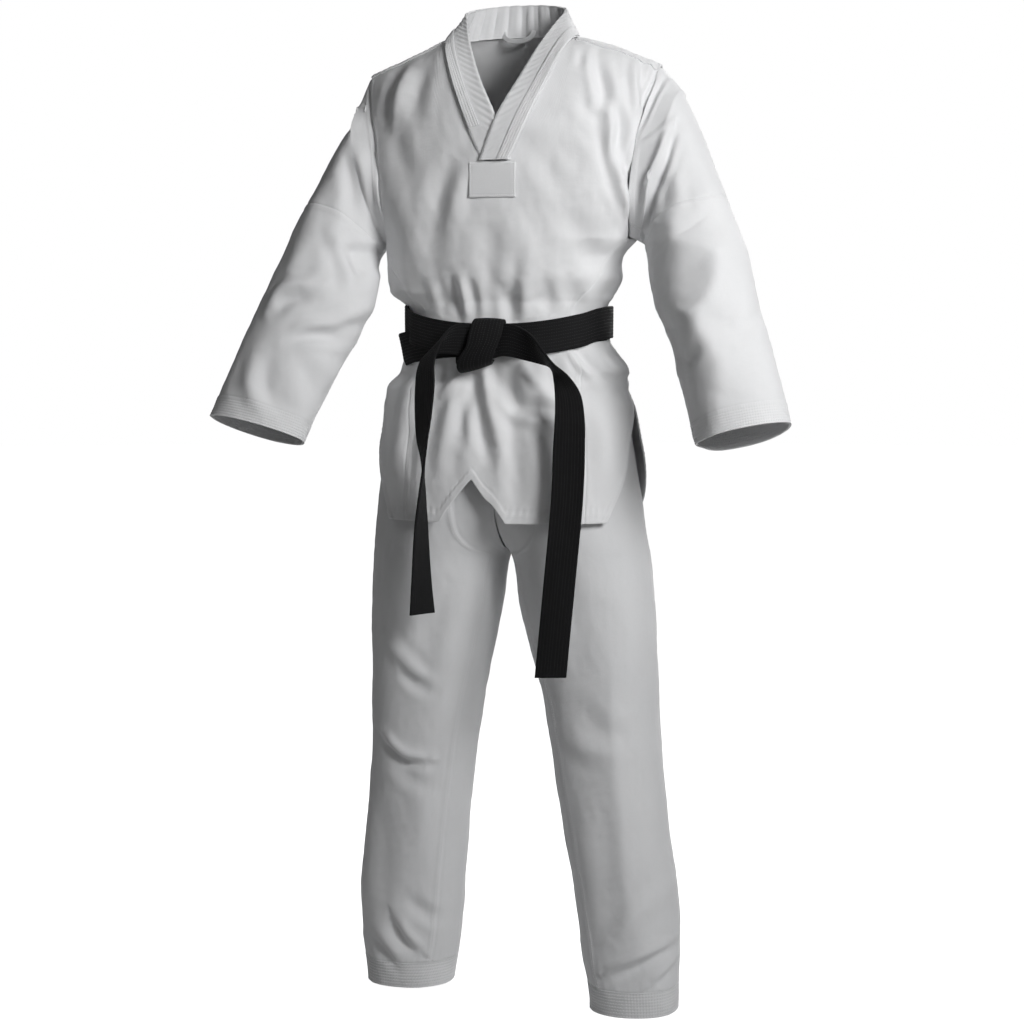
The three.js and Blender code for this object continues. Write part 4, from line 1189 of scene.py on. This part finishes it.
def belt_relief(p):
    grooves = bumps(p.away["v0"], LANES, GROOVE_WIDTH)
    d = -GROOVE_DEPTH * grooves - 0.9 * bump(p.away["v0"] / 0.9) - 0.9 * bump(p.away["v1"] / 0.9)
    return d + weave_ripple(p.along["v"]) + 0.5 * middle_wave(p.p * 1.2)


for name, gap in (("belt_inner_wrap", 1.5), ("belt_outer_wrap", 1.5 + BELT_THICK + 1)):
    def wrap(u, v):
        p = girth(JACKET, 360 * u, BELT_FRONT_Z + 0 * u)
        s = np.sin(2 * np.pi * u)
        p[..., 0] -= 5.5 * at_side(s)
        p[..., 0] += at_side(-s) * (2 - 10 * v if name == "belt_inner_wrap" else 6.5)
        p[..., 2] = wrap_z(360 * u, WRAPS[name]) + (v - 0.5) * BELT_WIDTH
        return p
    patch = Patch(wrap, ring_stations(300), graded(40), axis, ring=True, lift=gap + BELT_THICK - 0.1,
                  relief=belt_relief)
    made = sew(name + "_strap", patch, None, [("v0", LANES)], cloth=BLACKS, thick=BELT_THICK - 0.4, stagger=0,
               **BELT_STITCH)

# The knot: a strap that comes over both wraps and turns under at the lower left, and the bight behind it.
piece = Piece("belt_knot_strap")
lay_strap(piece, between("""
    -26 -104 962  16 -104 962   -26 -108 972  16 -108 971   -28 -116 971  16 -116 970   -32 -122 956  15 -122 959
    -36 -126 936  11 -125 944   -45 -127 921   5 -126 930   -49 -124 908   1 -123 919   -46 -116 901  -1 -115 914
    -42 -109 906   0 -108 918"""), cup=1.5)
lay_strap(piece, between("""
     20 -110 928  20 -112 964     0 -115 924   0 -117 966   -20 -117 920 -22 -118 965   -38 -116 913 -42 -117 963
    -52 -112 912 -56 -112 955"""), thick=4.5, cup=2)
piece.build(BLACKS, ["knot_band", "knot_lobe_left", "knot_lobe_right", "knot_fold"], "garment")

# Each hanging end: its edges, where its bend starts and stops, and its length under the knot.
TAILS = {
    "left": ("""
     -8 -112 918  -6 -113 962    18 -116 923  20 -119 968    44 -117 918  44 -126 961    66 -118 913  61 -138 950
     79 -121 910  75 -148 934    86 -127 904  91 -152 915    89 -135 893 112 -150 898    92 -142 873 128 -149 875
     93 -146 848 134 -149 844    91 -149 800 135 -150 798    89 -153 731 133 -152 733    80 -156 622 124 -156 624
     74 -157 555 118 -158 557    68 -158 489 112 -159 491""",
             (0.048, -0.122, -0.405), (0.078, -0.132, -0.440), 0.58),
    "right": ("""
    -18 -114 923 -16 -114 967   -40 -117 923 -38 -118 968   -64 -120 926 -53 -123 965   -84 -124 925 -63 -132 953
    -97 -128 918 -70 -140 935  -103 -129 904 -74 -148 914  -106 -128 884 -72 -156 886  -106 -130 846 -75 -161 846
   -104 -128 808 -80 -166 808   -99 -126 783 -83 -168 783   -95 -125 745 -89 -169 745   -91 -125 694 -96 -169 694
    -86 -126 623 -101 -168 623  -80 -128 570 -105 -166 570""",
              (-0.048, -0.122, -0.400), (-0.072, -0.130, -0.436), 0.46)}
for side, (edges, start, end, length) in TAILS.items():
    piece = Piece(f"belt_tail_{side}_strap")
    lay_strap(piece, between(edges), cup=lambda q: 1.2 * np.sin(q * 9))
    made = piece.build(BLACKS, [f"belt_tail_{side}"], blend=("garment", f"belt_end_{side}", start, end))

piece = Piece("hanger_loop_tape")
lay_strap(piece, [
    [-24, 52, 1380, 0.9, 0, 0.4], [-22, 47, 1372, 0.8, -0.1, 0.6], [-15, 43, 1366, 0.3, -0.1, 0.95],
    [-2, 42, 1364, 0, -0.1, 1], [11, 43, 1366, -0.3, -0.1, 0.95], [18, 47, 1372, -0.8, -0.1, 0.6],
    [20, 52, 1380, -0.9, 0, 0.4]], 6.5, thick=1.3, step=1.2, across=12, ribs=2)
piece.build(TRIM, ["hanger_loop"], "garment")


# ---------- the patch at the foot of the V ----------
PATCH_X, PATCH_Y, PATCH_Z, PATCH_ROW = (-32, 33), -123.2, (1138, 1185), 3.5


def patch_face(u, v):
    return vec(lerp(*PATCH_X, u), PATCH_Y + 0 * u, lerp(*PATCH_Z, v))


def patch_relief(p):
    return sum(-0.8 * bump(p.away[edge] / 0.9) - 0.3 * bump((p.away[edge] - PATCH_ROW) / 0.8) for edge in EDGES)


patch = Patch(patch_face, graded(66), graded(48), lambda p: np.array([0, 0, 1160]), relief=patch_relief)
sew("v_patch_cloth", patch, None, [(edge, (PATCH_ROW,)) for edge in EDGES], cloth=TRIM, thick=1.8, pitch=3.0,
    length=2.2)

# ---------- trousers ----------
INSEAM = 62.0   # from the leg's inner edge to the seam seen on its front


def inseam(p):
    """A felled seam that runs down the front of the leg, beside its inner edge."""
    gap, along = p.away["u0"] - INSEAM, p.along["u"]
    welt = 0.9 * (1 - smooth((np.abs(gap) - 3) / 1.8)) - 0.7 * bump((gap + 5.5) / 1.8)
    return welt + 0.4 * wave(along, 8.3, 1.3 * np.sin(along / 31)) * bump(gap / 7)


LEG_HALVES = {   # kind of side seams, stations round, relief and rows of stitches
    "front": ("fell", 100, inseam, [("u0", (1.8, 6.6)), ("u1", (1.8, 6.6)), ("u0", (INSEAM - 2, INSEAM + 2))]),
    "back": ("seam", 62, None, [])}
for side, s in SIDES:
    def core(p):
        z = min(p[2], 600)
        return np.array([s * (TROUSERS(z, 1) + TROUSERS(z, 2)) / 2, leg_lean(side, p[2]), p[2]])
    bend = ("garment", f"trouser_leg_{side}", (0, 0, -0.705), (0, 0, -0.835))
    folds = leg_folds(side, s)
    for half, (kind, stations, relief, rows) in LEG_HALVES.items():
        def leg(u, v):
            z = lerp(LEG_START[side] + LEG_BAND, WAIST_Z, v)
            angle = lerp(inner_angle(z), 90, u)
            return leg_point(side, s, angle if half == "front" else 180 - angle, z)
        patch = Patch(leg, graded(stations), graded(210, high=False), core, folds,
                      edges={"u0": kind, "u1": kind, "v0": "seam"}, relief=relief)
        sew(f"leg_{side}_{half}_cloth", patch, ["waistband_cloth"], rows, cloth=TROUSER, blend=bend)
    patch = Patch(lambda u, v: leg_point(side, s, 360 * u, LEG_START[side] + LEG_BAND * v), ring_stations(360),
                  np.linspace(0, 1, 40), core, folds, ring=True, relief=stitched_band("v0", LEG_HEM_ROWS, 4.2, 0.2))
    sew(f"leg_hem_{side}_cloth", patch, [f"leg_{side}_front_cloth"], [("v0", LEG_HEM_ROWS)], f"trouser_leg_{side}",
        TROUSER, thick=3.4, held="folded", pitch=4.2, length=3.0, stagger=0)


def waist(low, high):
    """A band round the waist between two heights."""
    table = Table([[0, 137, 92, 88], [1000, 137, 91, 86]])
    return lambda u, v: girth(table, 360 * u, lerp(low, high, v))


def waistband_relief(p):
    return 0.5 * wave(p.along["v"], 9) - 0.6 * bump(p.away["v1"] / 1.2)


def elastic_relief(p):
    return 0.5 * wave(p.along["v"], 6.5) - 0.4 * bumps(p.away["v0"], (5, 13, 21, 29), 0.8) - 2.4


patch = Patch(waist(WAIST_Z, 975), ring_stations(300), graded(26), axis, calm_folds, ring=True, lift=-1,
              relief=waistband_relief)
sew("waistband_cloth", patch, ["waist_elastic_web"], [("v1", (2.2, 6.0))], cloth=TROUSER, thick=2.0, held="gathered")
patch = Patch(waist(938, 971), ring_stations(300), graded(26), axis, ring=True, lift=-1.8, relief=elastic_relief)
sew("waist_elastic_web", patch, ["waistband_cloth"], cloth=ELASTIC, thick=1.0, held="stretched")


def crotch(u, v):
    """An arch between the legs, 60 mm from front to back."""
    turn = np.pi * u
    return vec(-24 * np.cos(turn) - 2, lerp(-30, 30, v), CROTCH_Z - 40 + 66 * np.sin(turn))


patch = Patch(crotch, graded(40), graded(24), lambda p: np.array([1, 0, CROTCH_Z - 60]), calm_folds,
              edges=dict.fromkeys(V_EDGES, 6.0))
sew("crotch_gusset_cloth", patch, ["leg_left_front_cloth"], [("v0", (4.0,)), ("v1", (4.0,))], cloth=TROUSER,
    thick=1.6, held="stretched")


# ---------- floor and light ----------
FLOOR_RADIUS, FLOOR_DROP, FLOOR_GAP = 14.0, 0.02, 0.001


def disc(name, radius, z, material, rings=24, spokes=96):
    """A round floor whose outer part rolls very slightly down, so that it has no hard far edge."""
    turn = np.arange(spokes) * 2 * np.pi / spokes
    verts = [(0, 0, z)]
    for r in radius * (np.arange(1, rings + 1) / rings) ** 1.6:
        verts += [(r * math.cos(t), r * math.sin(t), z - FLOOR_DROP * (r / radius) ** 4) for t in turn]
    faces = [(0, 1 + k, 1 + (k + 1) % spokes) for k in range(spokes)]
    for first in range(1, 1 + (rings - 1) * spokes, spokes):
        for k in range(spokes):
            a, b = first + k, first + (k + 1) % spokes
            faces.append((a, a + spokes, b + spokes, b))
    me = bpy.data.meshes.new(name)
    me.from_pydata(verts, [], faces)
    me.polygons.foreach_set("use_smooth", [True] * len(me.polygons))
    me.materials.append(material)
    add_object(name, me)


def seen_by_camera(tree, otherwise, seen):
    """A value that differs between rays from the camera and all others."""
    path, mix = tree.nodes.new("ShaderNodeLightPath"), tree.nodes.new("ShaderNodeMix")
    mix.data_type = "FLOAT"
    mix.inputs[2].default_value, mix.inputs[3].default_value = otherwise, seen
    tree.links.new(path.outputs["Is Camera Ray"], mix.inputs[0])
    return mix.outputs[0]


floor = Nodes("pale_floor")
floor.shade(Base_Color=floor.ramp(floor.noise(floor.place(), 2.2), (0.3, (0.62,) * 3), (0.7, (0.65,) * 3)),
            Roughness=0.95, Specular_IOR_Level=0.1, Emission_Color=(1, 1, 1, 1),
            Emission_Strength=seen_by_camera(floor.tree, 0.0, 1.0))
disc("floor", FLOOR_RADIUS, (LEG_START["left"] - MOUNT_Z) / 1000 - FLOOR_GAP, floor.material)


def area_light(name, position, target, size, watts, spread=180):
    data = bpy.data.lights.new(name, "AREA")
    data.shape, data.size, data.energy, data.spread = "DISK", size, watts, math.radians(spread)
    lamp = add_object(name, data)
    lamp.location = position
    aim(lamp, Vector(target) - Vector(position))


area_light("key", (1.53, -1.38, 0.45), (0.05, 0, -0.3), 0.9, 14.6, spread=115)
area_light("fill", (2.1, -2.5, 0.2), (0, 0, -0.5), 1.8, 3.5)
area_light("top", (0.2, 0.2, 2.6), (0, 0, -0.5), 2.0, 3)
area_light("back", (0.6, 2.9, 1.2), (0, 0, -0.6), 1.6, 20, spread=90)

world = bpy.data.worlds.new("studio")
bpy.context.scene.world = world
world.use_nodes = True
background = world.node_tree.nodes["Background"]
world.node_tree.links.new(seen_by_camera(world.node_tree, 0.09, 1.0), background.inputs["Strength"])
background.inputs["Color"].default_value = (1, 1, 1, 1)
bpy.context.scene.view_settings.view_transform = "Standard"
